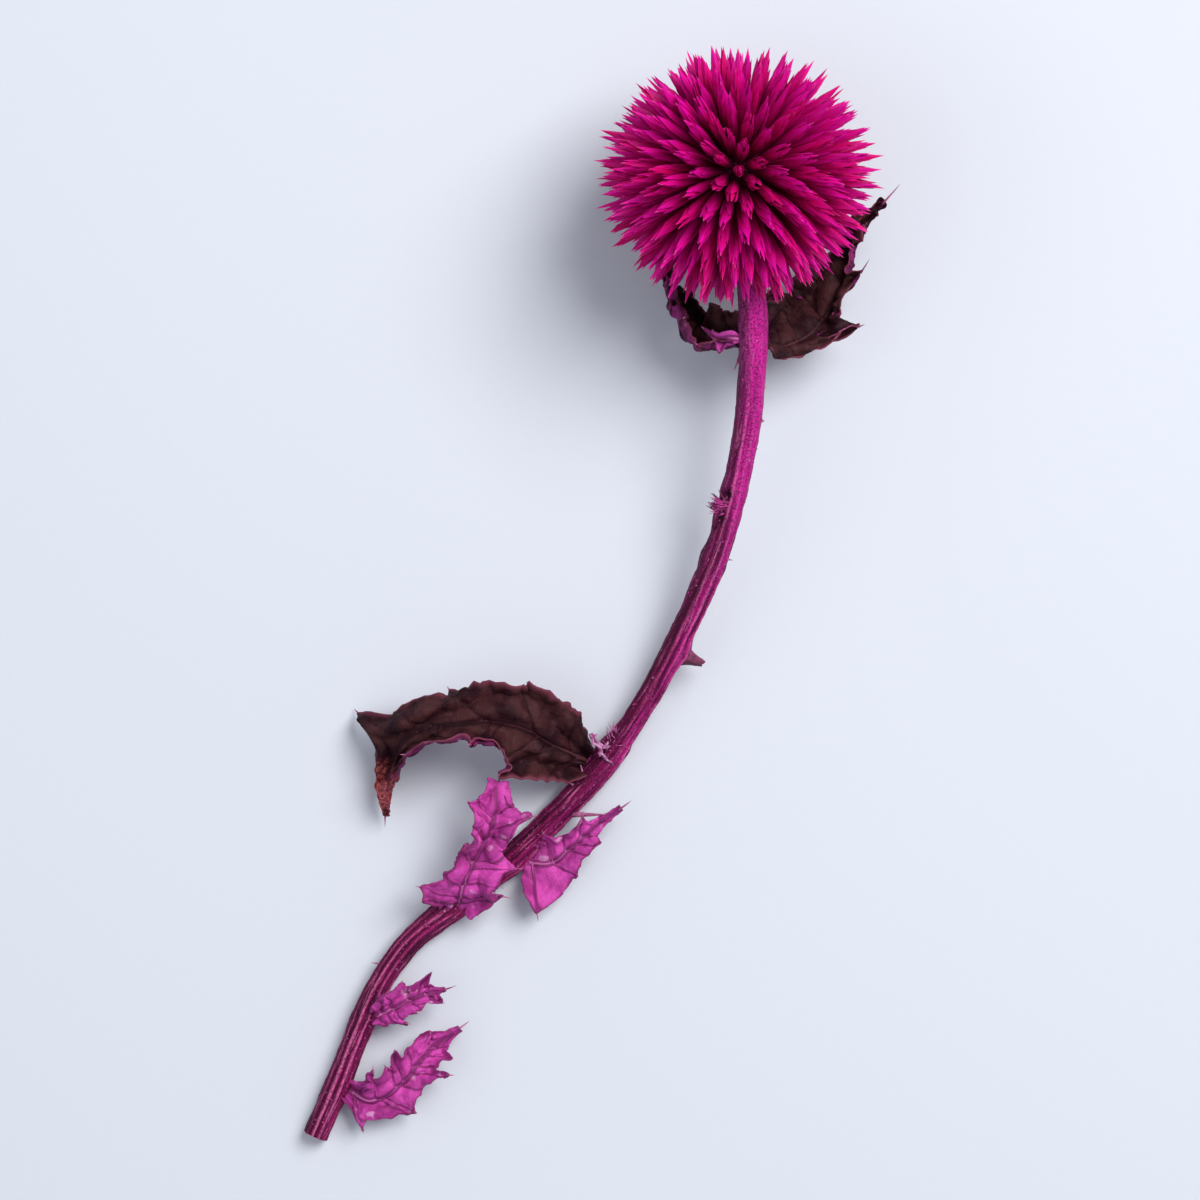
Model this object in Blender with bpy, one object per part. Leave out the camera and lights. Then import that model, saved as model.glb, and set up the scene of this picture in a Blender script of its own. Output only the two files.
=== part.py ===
"""A dried globe thistle: one flower head on its cut stem, lying on a flat surface.

The head is a ball of slender florets that stand on a round receptacle, the swollen end of the stem.
The florets grow in spiral rows, and each row is one object: its florets and the narrow strip that
joins their feet. The stem, with its receptacle and its bud stubs, is one object, and so is each leaf.

Lengths are written in millimetres and made metres by MM. Positions are measured from the point of
the table under the middle of the head: +X right, +Y towards the crown of the head, +Z up.
"""

import math

import bmesh
import bpy
import numpy as np
from mathutils import Matrix, Quaternion, Vector

MM = 0.001

# Where the design point, under the middle of the head, lies in the finished frame.
FRAME_SHIFT = Vector((25.0, 74.8, 0.0)) * MM

# The head.
HEAD_RADIUS = 25.6 * MM
HEAD_HEIGHT = 25.4 * MM
CROWN_FLATTENING = 0.08
STEM_DIRECTION = Vector((0.125, -0.975, -0.185)).normalized()
RECEPTACLE_RADIUS = 6.5 * MM
SEAT_GAP = 0.3 * MM

# The florets, laid out on a golden-angle lattice.
FLORETS_ON_FULL_BALL = 340
ROWS = 21
GOLDEN_ANGLE = math.pi * (3 - math.sqrt(5))
LAST_TIP_ANGLE = math.radians(167)
LAST_FOOT_ANGLE = math.radians(150)
FLORET_SIDES = 4
FLORET_FOOT_WIDTH = 0.84 * MM
FLORET_WIDTH = 2.6 * MM
FLORET_WIDEST_AT = 0.72
FOOT_RADIUS = RECEPTACLE_RADIUS + SEAT_GAP + 0.05 * MM
STRIP_WIDTH = 0.6 * MM
STRIP_RADIUS = FOOT_RADIUS + 0.45 * MM

# The crown tuft: the lattice's first florets, joined by a small disc and by short strips.
CROWN_FLORETS = 21
CROWN_STEP = 8
CROWN_DISC_RADIUS = 2.2 * MM

# The stem: centre line from the head down to the cut, and the radius at each of its points.
STEM_LINE = [
    (2.9, -22.9, 21.0),
    (2.5, -38.5, 18.1),
    (0.6, -51.5, 15.2),
    (-2.6, -64.5, 12.0),
    (-6.8, -75.0, 9.2),
    (-12.3, -86.6, 6.3),
    (-18.4, -97.0, 4.0),
    (-25.8, -107.2, 2.6),
    (-34.4, -116.2, 2.3),
    (-42.6, -123.8, 2.3),
    (-51.5, -130.8, 2.4),
    (-59.3, -137.4, 2.6),
    (-65.0, -145.6, 2.7),
    (-69.2, -155.5, 2.5),
    (-72.8, -164.6, 2.2),
    (-76.2, -172.4, 2.1),
]
STEM_RADII = [2.5, 2.45, 2.25, 2.15, 2.05, 2.05, 2.1, 2.25, 2.25, 2.25, 2.35, 2.1, 2.0, 2.0, 2.05, 2.1]
STEM_SIDES = 12
STEM_STEP = 5.0 * MM
NECK_LENGTH = 1.2 * MM

# The stubs on the stem: where each starts inside the stem, where it ends, and its radius there.
STEM_STUBS = [
    ((-10.4, -83.4, 7.0), (-6.0, -84.6, 7.9), 1.5),
    ((-1.2, -57.5, 13.6), (-4.3, -58.0, 14.7), 1.3),
    ((-23.2, -103.0, 3.2), (-25.4, -99.6, 5.6), 1.4),
]

LEAF_THICKNESS = 0.5 * MM
LEAF_TIP_SHARE = 0.06
LEAF_BASE_SHARE = 0.45
LEAF_OPENING = 4.0


def clear_scene():
    """Removes the objects of the startup scene."""
    for thing in list(bpy.data.objects):
        bpy.data.objects.remove(thing)


def make_material(name, colour, roughness):
    """A Principled material of one colour; colour is linear red, green and blue."""
    material = bpy.data.materials.new(name)
    material.use_nodes = True
    shader = material.node_tree.nodes["Principled BSDF"]
    shader.inputs["Base Color"].default_value = (*colour, 1.0)
    shader.inputs["Roughness"].default_value = roughness
    shader.inputs["Metallic"].default_value = 0.0
    return material


def add_object(name, bm, material, parent):
    """Turns a bmesh into a named object with a material, under a parent."""
    mesh = bpy.data.meshes.new(name)
    bmesh.ops.recalc_face_normals(bm, faces=bm.faces)
    bm.to_mesh(mesh)
    bm.free()
    thing = bpy.data.objects.new(name, mesh)
    bpy.context.scene.collection.objects.link(thing)
    thing.data.materials.append(material)
    thing.parent = parent
    return thing


def add_empty(name, location, rotation, parent):
    """An empty that carries other objects."""
    empty = bpy.data.objects.new(name, None)
    bpy.context.scene.collection.objects.link(empty)
    empty.parent = parent
    empty.matrix_local = Matrix.Translation(location) @ rotation.to_matrix().to_4x4()
    return empty


def add_union(thing, bm, parent):
    """Joins the closed shapes of a bmesh to an object with a Boolean; the helper stays hidden."""
    helper = add_object(f"{thing.name}_helper", bm, thing.data.materials[0], parent)
    helper.hide_render = True
    helper.display_type = "WIRE"
    union = thing.modifiers.new("Union", "BOOLEAN")
    union.operation = "UNION"
    union.object = helper
    return helper


# ---------------------------------------------------------------- curves


def curve_through(points, samples_per_span=12):
    """A smooth Catmull-Rom curve through points of any dimension, densely sampled."""
    points = np.asarray(points, float)
    padded = np.vstack([2 * points[0] - points[1], points, 2 * points[-1] - points[-2]])
    shares = np.linspace(0, 1, samples_per_span, endpoint=False)[:, None]
    spans = []
    for before, start, end, after in zip(padded, padded[1:], padded[2:], padded[3:]):
        spans.append(
            0.5
            * (
                2 * start
                + (end - before) * shares
                + (2 * before - 5 * start + 4 * end - after) * shares**2
                + (3 * start - before - 3 * end + after) * shares**3
            )
        )
    return np.vstack([*spans, points[-1:]])


def lengths_along(curve):
    """The distance from the start of a sampled curve to each of its samples, in its first 3 columns."""
    steps = np.linalg.norm(np.diff(curve[:, :3], axis=0), axis=1)
    return np.concatenate([[0.0], np.cumsum(steps)])


def sample_curve(curve, shares):
    """The values of a sampled curve at the given shares of its length."""
    along = lengths_along(curve)
    wanted = np.asarray(shares) * along[-1]
    return np.column_stack([np.interp(wanted, along, column) for column in curve.T])


def tangents_of(points):
    """The unit direction of a line of points at each of them."""
    return [Vector(d).normalized() for d in np.gradient(np.asarray(points, float), axis=0)]


# ---------------------------------------------------------------- swept shapes


def add_ring(bm, centre, normal, across, radius, sides):
    """A ring of vertices round a centre, in the plane square to normal."""
    across = (across - normal * across.dot(normal)).normalized()
    other = normal.cross(across)
    turns = [2 * math.pi * k / sides for k in range(sides)]
    return [
        bm.verts.new(centre + (across * math.cos(a) + other * math.sin(a)) * radius)
        for a in turns
    ]


def bridge(bm, first, second):
    """Quads between two rings of the same number of vertices."""
    for k in range(len(first)):
        following = (k + 1) % len(first)
        bm.faces.new((first[k], first[following], second[following], second[k]))


def close_to_point(bm, ring, point):
    """A fan of triangles from a ring to one new vertex."""
    apex = bm.verts.new(point)
    for k in range(len(ring)):
        bm.faces.new((ring[k], ring[(k + 1) % len(ring)], apex))


def sweep(bm, centres, radii, sides, start_point=None, end_point=None):
    """A closed tube along centres; each end is flat, or drawn to a point."""
    centres = [Vector(c) for c in centres]
    normals = tangents_of(centres)
    across = normals[0].orthogonal()
    rings = []
    for centre, normal, radius in zip(centres, normals, radii):
        ring = add_ring(bm, centre, normal, across, radius, sides)
        across = ring[0].co - centre
        rings.append(ring)
    for first, second in zip(rings, rings[1:]):
        bridge(bm, first, second)
    for ring, point in ((rings[0], start_point), (rings[-1], end_point)):
        if point is None:
            bm.faces.new(ring)
        else:
            close_to_point(bm, ring, point)


# ---------------------------------------------------------------- the florets


def floret_angles(index):
    """The angle of a floret's tip from the crown, and its turn round the head's axis."""
    return math.acos(1 - (2 * index + 1) / FLORETS_ON_FULL_BALL), index * GOLDEN_ANGLE


def on_ball(angle, turn, radius):
    """A point on a ball, by its angle from the crown (+Z) and its turn round the axis."""
    flat = math.sin(angle)
    return Vector((flat * math.cos(turn), flat * math.sin(turn), math.cos(angle))) * radius


def foot_angle(tip_angle):
    """Feet crowd together towards the crown, which leaves the stem's place free."""
    return tip_angle * LAST_FOOT_ANGLE / LAST_TIP_ANGLE


def tip_radius(tip_angle):
    """The head is a little flatter along its axis than across it."""
    return HEAD_RADIUS * (1 - CROWN_FLATTENING * math.cos(tip_angle) ** 2)


def add_floret(bm, tip_angle, turn):
    """One floret: a spindle from its foot on the receptacle to its sharp tip."""
    foot = on_ball(foot_angle(tip_angle), turn, FOOT_RADIUS)
    tip = on_ball(tip_angle, turn, tip_radius(tip_angle))
    widest = foot.lerp(tip, FLORET_WIDEST_AT)
    sweep(
        bm,
        [foot, widest],
        [FLORET_FOOT_WIDTH / 2, FLORET_WIDTH / 2],
        FLORET_SIDES,
        end_point=tip,
    )


def florets_from(first, last, step):
    """The angles of every step-th floret between two places on the lattice, clear of the stem."""
    angles = [floret_angles(i) for i in range(first, last, step)]
    return [(tip, turn) for tip, turn in angles if tip < LAST_TIP_ANGLE]


def add_strip(bm, angles):
    """The strip of receptacle skin that joins the feet of one row."""
    feet = [on_ball(foot_angle(angle), turn, STRIP_RADIUS) for angle, turn in angles]
    sweep(bm, feet, [STRIP_WIDTH / 2] * len(feet), 4)


def make_crown(head, material):
    """The tuft of florets at the crown, where there is no room yet for all the rows."""
    disc = bmesh.new()
    low, high = STRIP_RADIUS - STRIP_WIDTH / 2, STRIP_RADIUS + STRIP_WIDTH / 2
    sweep(disc, [(0, 0, low), (0, 0, high)], [CROWN_DISC_RADIUS] * 2, 10)
    strips = bmesh.new()
    for first in range(CROWN_STEP):
        add_strip(strips, florets_from(first, CROWN_FLORETS, CROWN_STEP))
    florets = bmesh.new()
    for tip, turn in florets_from(0, CROWN_FLORETS, 1):
        add_floret(florets, tip, turn)
    thing = add_object("floret_crown", disc, material, head)
    add_union(thing, strips, head)
    add_union(thing, florets, head)


def ring_on_receptacle(bm, centre, along, across, width):
    """The strip's square section: two vertices on its inner side, then two on its outer side."""
    outwards = centre.normalized()
    inner, outer = -outwards * STRIP_WIDTH / 2, outwards * STRIP_WIDTH / 2
    side = across * width / 2
    corners = (inner - side, inner + side, outer + side, outer - side)
    return [bm.verts.new(centre + along + corner) for corner in corners]


def make_floret_row(name, angles, head, material):
    """One spiral row: a strip of receptacle skin with a floret growing out of it at each foot."""
    bm = bmesh.new()
    feet = [on_ball(foot_angle(angle), turn, STRIP_RADIUS) for angle, turn in angles]
    previous = None
    for (angle, turn), foot, direction in zip(angles, feet, tangents_of(feet)):
        across = foot.normalized().cross(direction).normalized()
        along = across.cross(foot.normalized()) * FLORET_FOOT_WIDTH / 2
        near = ring_on_receptacle(bm, foot, -along, across, FLORET_FOOT_WIDTH)
        far = ring_on_receptacle(bm, foot, along, across, FLORET_FOOT_WIDTH)
        if previous is None:
            bm.faces.new(near)
        else:
            bridge(bm, previous, near)
        for k in (0, 1, 3):
            following = (k + 1) % 4
            bm.faces.new((near[k], near[following], far[following], far[k]))
        tip = on_ball(angle, turn, tip_radius(angle))
        grow_floret(bm, [near[3], near[2], far[2], far[3]], foot, tip)
        previous = far
    bm.faces.new(previous)
    return add_object(name, bm, material, head)


def grow_floret(bm, foot_ring, foot, tip):
    """Draws a ring of four vertices out to the floret's widest place, and on to its tip."""
    widest = foot.lerp(tip, FLORET_WIDEST_AT)
    ring = []
    for vertex in foot_ring:
        corner = vertex.co - foot
        corner -= foot.normalized() * corner.dot(foot.normalized())
        ring.append(bm.verts.new(widest + corner.normalized() * FLORET_WIDTH / 2))
    bridge(bm, foot_ring, ring)
    close_to_point(bm, ring, tip)


def make_floret_rows(head, material):
    """Every spiral row of florets, from the crown tuft to the stem, as its own object."""
    for row in range(ROWS):
        angles = florets_from(CROWN_FLORETS + row, FLORETS_ON_FULL_BALL, ROWS)
        make_floret_row(f"floret_row_{row + 1:02d}", angles, head, material)


# ---------------------------------------------------------------- the stem


def stem_curve():
    """The stem's centre line and radius from its neck, under the receptacle, to the cut."""
    neck = Vector((0, 0, HEAD_HEIGHT)) + STEM_DIRECTION * (RECEPTACLE_RADIUS + NECK_LENGTH)
    line = np.column_stack([np.array(STEM_LINE), STEM_RADII]) * MM
    return curve_through(np.vstack([[*neck, STEM_RADII[0] * MM], line]))


def beside_stem(height, turn, gap=SEAT_GAP):
    """A place beside the stem; turn 0 is its right side seen from above, 90 degrees its top."""
    curve = stem_curve()
    nearest = int(np.argmin(np.abs(curve[:, 1] - height)))
    along = tangents_of(curve[:, :3])[nearest]
    right = Vector((0, 0, 1)).cross(along).normalized()
    outwards = right * math.cos(turn) + along.cross(right) * math.sin(turn)
    return Vector(curve[nearest, :3]) + outwards * (curve[nearest, 3] + gap)


def make_stem(root, head_centre, material):
    """The stem from its receptacle to its cut end, with the stubs of a bud and two fallen leaves."""
    polar = [math.radians(a) for a in range(18, 151, 12)]
    ball = [head_centre - STEM_DIRECTION * RECEPTACLE_RADIUS * math.cos(a) for a in polar]
    ball_radii = [RECEPTACLE_RADIUS * math.sin(a) for a in polar]
    curve = stem_curve()
    steps = round(lengths_along(curve)[-1] / STEM_STEP)
    rings = sample_curve(curve, np.linspace(0, 1, steps + 1))
    bm = bmesh.new()
    sweep(
        bm,
        [*ball, *rings[:, :3]],
        [*ball_radii, *rings[:, 3]],
        STEM_SIDES,
        start_point=head_centre - STEM_DIRECTION * RECEPTACLE_RADIUS,
    )
    stem = add_object("stem", bm, material, root)
    stubs = bmesh.new()
    for start, end, radius in STEM_STUBS:
        start, end = Vector(start) * MM, Vector(end) * MM
        middle = start.lerp(end, 0.6)
        sweep(stubs, [start, middle, end], [radius * MM, 0.55 * radius * MM, 0.4 * radius * MM], 6)
    add_union(stem, stubs, root)


# ---------------------------------------------------------------- the leaves


class Leaf:
    """One dry leaf: a blade along a curved midrib, with pointed lobes and rolled, wavy margins."""

    def __init__(self, name, material, joins, midrib, faces, width, lobes, curl, wave, sides=(1, 1)):
        self.name = name
        self.material = material
        height, turn = joins
        base = beside_stem(height * MM, math.radians(turn), SEAT_GAP + LEAF_THICKNESS / 2)
        self.midrib = curve_through([base, *(Vector(p) * MM for p in midrib)])
        self.faces = [Vector(f).normalized() for f in faces]
        self.half_width = width / 2 * MM
        self.lobes = lobes
        self.curl = curl
        self.wave = wave
        self.sides = sides

    def outline(self, share):
        """Half the width of the blade at a share of its length, and how far a lobe stands out there."""
        swell = math.sin(math.pi * min(1.0, share * 0.86 + 0.14)) ** 0.8
        petiole = min(1.0, LEAF_BASE_SHARE + LEAF_OPENING * share)
        phase = (share * self.lobes) % 1.0
        lobe = phase / 0.6 if phase < 0.6 else max(0.0, 1 - (phase - 0.6) / 0.18)
        tooth = 0.45 + 0.55 * lobe
        return self.half_width * max(LEAF_TIP_SHARE, swell * tooth * petiole), lobe * swell

    def stations(self):
        """The shares of the length that catch every lobe's notch, slope and point."""
        phases = (0.0, 0.3, 0.6, 0.78)
        inner = [(n + p) / self.lobes for n in range(self.lobes) for p in phases]
        return [*inner, 1.0]

    def point(self, centre, tangent, share, across):
        """A point of the blade; across runs from -1 on the right margin to 1 on the left one."""
        face = self.faces[0].lerp(self.faces[1], share)
        face = (face - tangent * face.dot(tangent)).normalized()
        left = face.cross(tangent)
        half, lobe = self.outline(share)
        side = 0 if across > 0 else 1
        half *= self.sides[side]
        curl = self.curl[side]
        bend = curl * abs(across)
        sideways = half * math.sin(bend) / curl * math.copysign(1, across)
        up = half * (1 - math.cos(bend)) / curl
        up += self.wave * half * math.sin(2 * math.pi * self.lobes * share + side) * across**2
        forward = 0.5 * half * lobe * across**2
        return centre + left * sideways + face * up + tangent * forward

    def make(self, root):
        """The leaf as an object: a grid over the blade, thickened."""
        shares = self.stations()
        centres = sample_curve(self.midrib, shares)
        dense = sample_curve(self.midrib, np.linspace(0, 1, 60))
        directions = tangents_of(dense)
        bm = bmesh.new()
        rows = []
        for share, centre in zip(shares, centres):
            tangent = directions[round(share * 59)]
            rows.append(
                [
                    bm.verts.new(self.point(Vector(centre), tangent, share, across))
                    for across in (-1.0, -0.55, 0.0, 0.55, 1.0)
                ]
            )
        for first, second in zip(rows, rows[1:]):
            for k in range(4):
                bm.faces.new((first[k], second[k], second[k + 1], first[k + 1]))
        leaf = add_object(self.name, bm, self.material, root)
        thicken = leaf.modifiers.new("Thickness", "SOLIDIFY")
        thicken.thickness = LEAF_THICKNESS
        thicken.offset = 0.0
        return leaf


# The midribs, from the leaves' bases beside the stem (its height and turn) to their tips.
UPPER_RIGHT_MIDRIB = [
    (10.0, -30.2, 13.6),
    (15.8, -27.6, 9.6),
    (20.6, -20.5, 8.2),
    (23.2, -11.8, 9.6),
    (25.4, -6.6, 12.6),
    (27.8, -2.6, 15.5),
]
UPPER_LEFT_MIDRIB = [
    (-4.6, -30.2, 14.8),
    (-8.2, -28.2, 11.6),
    (-10.8, -24.4, 9.4),
    (-13.2, -19.6, 7.4),
    (-15.8, -13.6, 5.6),
]
MIDDLE_DARK_MIDRIB = [
    (-33.0, -101.0, 7.5),
    (-38.5, -98.0, 11.0),
    (-44.0, -96.6, 13.0),
    (-49.5, -97.2, 13.0),
    (-55.0, -97.8, 11.5),
    (-60.0, -100.5, 9.0),
    (-62.8, -106.5, 6.0),
    (-63.2, -114.0, 3.4),
]
MIDDLE_PINK_MIDRIB = [
    (-48.6, -125.4, 8.4),
    (-45.8, -119.4, 10.0),
    (-43.4, -114.2, 10.6),
    (-43.0, -108.0, 9.0),
]
MIDDLE_UNDER_MIDRIB = [
    (-33.5, -122.8, 3.6),
    (-29.5, -119.8, 4.6),
    (-25.0, -115.8, 5.2),
    (-20.5, -112.6, 5.6),
]
LOWER_SMALL_MIDRIB = [
    (-61.5, -148.8, 5.0),
    (-57.5, -146.8, 6.0),
    (-52.5, -145.6, 5.4),
]
LOWER_BROAD_MIDRIB = [
    (-65.5, -165.8, 3.6),
    (-60.0, -162.2, 4.6),
    (-55.5, -156.8, 4.4),
    (-50.0, -152.8, 2.8),
]


def make_leaves(root, dark, pink):
    """The leaves, from the head down to the cut end."""
    upwards = (0, 0, 1)
    leaves = [
        Leaf(
            "upper_leaf_right",
            dark,
            (-30.0, -35),
            UPPER_RIGHT_MIDRIB,
            [(-0.1, 0.35, 0.93), (-0.5, 0.0, 0.87)],
            width=18,
            lobes=4,
            curl=(0.5, 0.7),
            wave=0.2,
            sides=(1, 0.5),
        ),
        Leaf(
            "upper_leaf_left",
            dark,
            (-30.0, 215),
            UPPER_LEFT_MIDRIB,
            [(0.1, 0.35, 0.93), (0.5, 0.0, 0.87)],
            width=14,
            lobes=4,
            curl=(1.2, 0.8),
            wave=0.2,
            sides=(0.6, 1),
        ),
        Leaf(
            "middle_leaf_dark",
            dark,
            (-105.5, 185),
            MIDDLE_DARK_MIDRIB,
            [(0.1, -0.2, 1), (-0.3, -0.2, 1)],
            width=17,
            lobes=5,
            curl=(-0.7, -0.9),
            wave=0.22,
        ),
        Leaf(
            "middle_leaf_pink",
            pink,
            (-130.5, 60),
            MIDDLE_PINK_MIDRIB,
            [upwards, (0.1, -0.2, 1)],
            width=17,
            lobes=3,
            curl=(0.8, 0.6),
            wave=0.3,
        ),
        Leaf(
            "middle_leaf_under",
            pink,
            (-121.0, 5),
            MIDDLE_UNDER_MIDRIB,
            [upwards, (0.2, 0, 1)],
            width=13,
            lobes=3,
            curl=(0.7, 0.5),
            wave=0.22,
            sides=(0.55, 1),
        ),
        Leaf(
            "lower_leaf_small",
            pink,
            (-150.5, 35),
            LOWER_SMALL_MIDRIB,
            [upwards, (0, 0.3, 1)],
            width=9,
            lobes=3,
            curl=(0.8, 0.8),
            wave=0.2,
        ),
        Leaf(
            "lower_leaf_broad",
            pink,
            (-163.0, 5),
            LOWER_BROAD_MIDRIB,
            [upwards, upwards],
            width=14,
            lobes=4,
            curl=(0.6, 0.7),
            wave=0.25,
        ),
    ]
    for leaf in leaves:
        leaf.make(root)


def main():
    """Builds the thistle."""
    clear_scene()
    floret_magenta = make_material("floret_magenta", (0.62, 0.003, 0.22), 0.55)
    stem_magenta = make_material("stem_magenta", (0.30, 0.03, 0.13), 0.5)
    leaf_dark = make_material("leaf_dark", (0.06, 0.018, 0.03), 0.7)
    leaf_pink = make_material("leaf_pink", (0.46, 0.06, 0.29), 0.6)
    root = add_empty("thistle", FRAME_SHIFT, Quaternion(), None)
    head_centre = Vector((0, 0, HEAD_HEIGHT))
    crown = Vector((0, 0, 1)).rotation_difference(-STEM_DIRECTION)
    head = add_empty("head", head_centre, crown, root)
    make_crown(head, floret_magenta)
    make_floret_rows(head, floret_magenta)
    make_stem(root, head_centre, stem_magenta)
    make_leaves(root, leaf_dark, leaf_pink)


main()
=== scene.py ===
"""The looks of a dried globe thistle, dyed magenta, that lies on a pale surface.

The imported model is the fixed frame. Each of its nodes is replaced by a finer piece in the same place: the
florets as bundles of pointed bracts, the stem with its ridges and scraps, and the leaves with their veins,
lobes and spines. Lengths are written in millimetres and made metres by MM.
"""

import logging
import math
import random
from dataclasses import dataclass, field
from enum import Enum
from typing import Any

import bpy
import numpy as np
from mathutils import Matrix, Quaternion, Vector, noise


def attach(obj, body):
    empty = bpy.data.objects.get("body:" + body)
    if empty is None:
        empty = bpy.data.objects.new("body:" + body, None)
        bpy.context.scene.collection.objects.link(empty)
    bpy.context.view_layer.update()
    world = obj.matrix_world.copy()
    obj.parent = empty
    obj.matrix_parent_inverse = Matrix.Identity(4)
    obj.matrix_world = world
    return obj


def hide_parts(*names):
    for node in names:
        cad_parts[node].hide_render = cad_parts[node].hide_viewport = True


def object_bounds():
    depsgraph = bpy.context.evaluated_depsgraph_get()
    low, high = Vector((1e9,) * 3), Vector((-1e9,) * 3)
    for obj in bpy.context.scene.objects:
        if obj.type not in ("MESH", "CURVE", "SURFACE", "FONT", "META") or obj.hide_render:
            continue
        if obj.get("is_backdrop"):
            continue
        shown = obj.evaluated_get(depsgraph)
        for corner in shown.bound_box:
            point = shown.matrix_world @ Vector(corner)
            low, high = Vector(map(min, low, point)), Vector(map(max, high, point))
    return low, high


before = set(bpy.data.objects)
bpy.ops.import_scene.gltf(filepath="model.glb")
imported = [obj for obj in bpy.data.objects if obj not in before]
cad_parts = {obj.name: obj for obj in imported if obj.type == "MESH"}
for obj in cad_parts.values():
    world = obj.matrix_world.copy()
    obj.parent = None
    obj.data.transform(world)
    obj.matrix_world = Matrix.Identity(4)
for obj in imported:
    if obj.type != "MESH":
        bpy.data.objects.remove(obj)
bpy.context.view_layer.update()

MM = 0.001
LOG = logging.getLogger("thistle")

# The design point, under the middle of the head, in the frame. The places below are measured from it.
DESIGN_POINT = Vector((25.0, 74.8, 0.0)) * MM
HEAD_CENTRE = DESIGN_POINT + Vector((0, 0, 25.4)) * MM
STEM_DIRECTION = Vector((0.125, -0.975, -0.185)).normalized()
RECEPTACLE_RADIUS = 6.5 * MM
NECK_LENGTH = 1.2 * MM

Colour = tuple[float, float, float]
Point = tuple[float, float, float]


class Slot(Enum):
    """The record's material slots."""

    FLORET = "floret_magenta"
    STEM = "stem_magenta"
    LEAF_DARK = "leaf_dark"
    LEAF_PINK = "leaf_pink"


# ---------------------------------------------------------------- curves


def curve_through(points: Any, samples_per_span: int = 24) -> np.ndarray:
    """A smooth Catmull-Rom curve through points of any dimension.

    Args:
        points: The points, one per row.
        samples_per_span: Samples between two of them.

    Returns:
        The sampled curve, one sample per row.
    """
    points = np.asarray([tuple(p) for p in points], float)
    padded = np.vstack([2 * points[0] - points[1], points, 2 * points[-1] - points[-2]])
    shares = np.linspace(0, 1, samples_per_span, endpoint=False)[:, None]
    spans = []
    for before, start, end, after in zip(padded, padded[1:], padded[2:], padded[3:]):
        bend = 2 * before - 5 * start + 4 * end - after
        twist = 3 * start - before - 3 * end + after
        spans.append(0.5 * (2 * start + (end - before) * shares + bend * shares**2 + twist * shares**3))
    return np.vstack([*spans, points[-1:]])


def lengths_along(curve: np.ndarray) -> np.ndarray:
    """The distance along a sampled curve, by its first three columns, to each of its samples."""
    steps = np.linalg.norm(np.diff(curve[:, :3], axis=0), axis=1)
    return np.concatenate([[0.0], np.cumsum(steps)])


def sample_curve(curve: np.ndarray, shares: np.ndarray) -> np.ndarray:
    """The values of a sampled curve at shares of its length."""
    along = lengths_along(curve)
    return np.column_stack([np.interp(shares * along[-1], along, column) for column in curve.T])


def unit(vectors: np.ndarray) -> np.ndarray:
    """Vectors, in the last axis, made one long."""
    return vectors / np.maximum(np.linalg.norm(vectors, axis=-1, keepdims=True), 1e-12)


# ---------------------------------------------------------------- meshes


def mesh_object(
    name: str, vertices: Any, faces: Any, material: bpy.types.Material | None = None
) -> bpy.types.Object:
    """A mesh object in the scene, shaded smooth.

    Args:
        name: The object's name.
        vertices: Its vertices.
        faces: Its faces, as vertex numbers.
        material: Its material, if it has one already.

    Returns:
        The object.
    """
    mesh = bpy.data.meshes.new(name)
    mesh.from_pydata([tuple(v) for v in vertices], [], [tuple(int(i) for i in f) for f in faces])
    mesh.shade_smooth()
    thing = bpy.data.objects.new(name, mesh)
    bpy.context.scene.collection.objects.link(thing)
    if material is not None:
        mesh.materials.append(material)
    return thing


def add_attribute(mesh: bpy.types.Mesh, name: str, values: np.ndarray) -> None:
    """Stores a number or a vector for each vertex.

    Args:
        mesh: The mesh.
        name: The attribute's name.
        values: One value per vertex.
    """
    values = np.asarray(values, np.float32)
    vector = values.ndim == 2
    layer = mesh.attributes.new(name, "FLOAT_VECTOR" if vector else "FLOAT", "POINT")
    layer.data.foreach_set("vector" if vector else "value", values.ravel())


def add_uv(mesh: bpy.types.Mesh, places: np.ndarray) -> None:
    """Stores a place on the surface, in metres, for each vertex as the mesh's UV map.

    Args:
        mesh: The mesh.
        places: One place per vertex.
    """
    layer = mesh.uv_layers.new(name="surface")
    corners = np.empty(len(mesh.loops), np.int32)
    mesh.loops.foreach_get("vertex_index", corners)
    layer.data.foreach_set("uv", np.asarray(places, np.float32)[corners].ravel())


def grid_faces(
    rows: int, columns: int, start: int = 0, closed: bool = False
) -> list[tuple[int, int, int, int]]:
    """The quads of a grid of vertices numbered row by row.

    Args:
        rows: Its rows.
        columns: Its columns.
        start: The number of its first vertex.
        closed: Whether the last column joins the first one.

    Returns:
        The faces.
    """
    faces = []
    for row in range(rows - 1):
        for column in range(columns if closed else columns - 1):
            near, far = start + row * columns, start + (row + 1) * columns
            following = (column + 1) % columns
            faces.append((near + column, near + following, far + following, far + column))
    return faces


def bake(thing: bpy.types.Object) -> bpy.types.Object:
    """Makes the result of an object's modifiers its own plain mesh, and removes them.

    Args:
        thing: The object.

    Returns:
        The same object.
    """
    graph = bpy.context.evaluated_depsgraph_get()
    made = bpy.data.meshes.new_from_object(thing.evaluated_get(graph))
    thing.modifiers.clear()
    before = thing.data
    thing.data = made
    bpy.data.meshes.remove(before)
    return thing


def face_outwards(thing: bpy.types.Object) -> None:
    """Turns all the faces of a closed mesh round if it is inside out.

    Args:
        thing: The object that has the mesh.
    """
    mesh = thing.data
    mesh.calc_loop_triangles()
    volume = 0.0
    for triangle in mesh.loop_triangles:
        a, b, c = (mesh.vertices[i].co for i in triangle.vertices)
        volume += a.cross(b).dot(c)
    if volume < 0:
        mesh.flip_normals()


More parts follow.
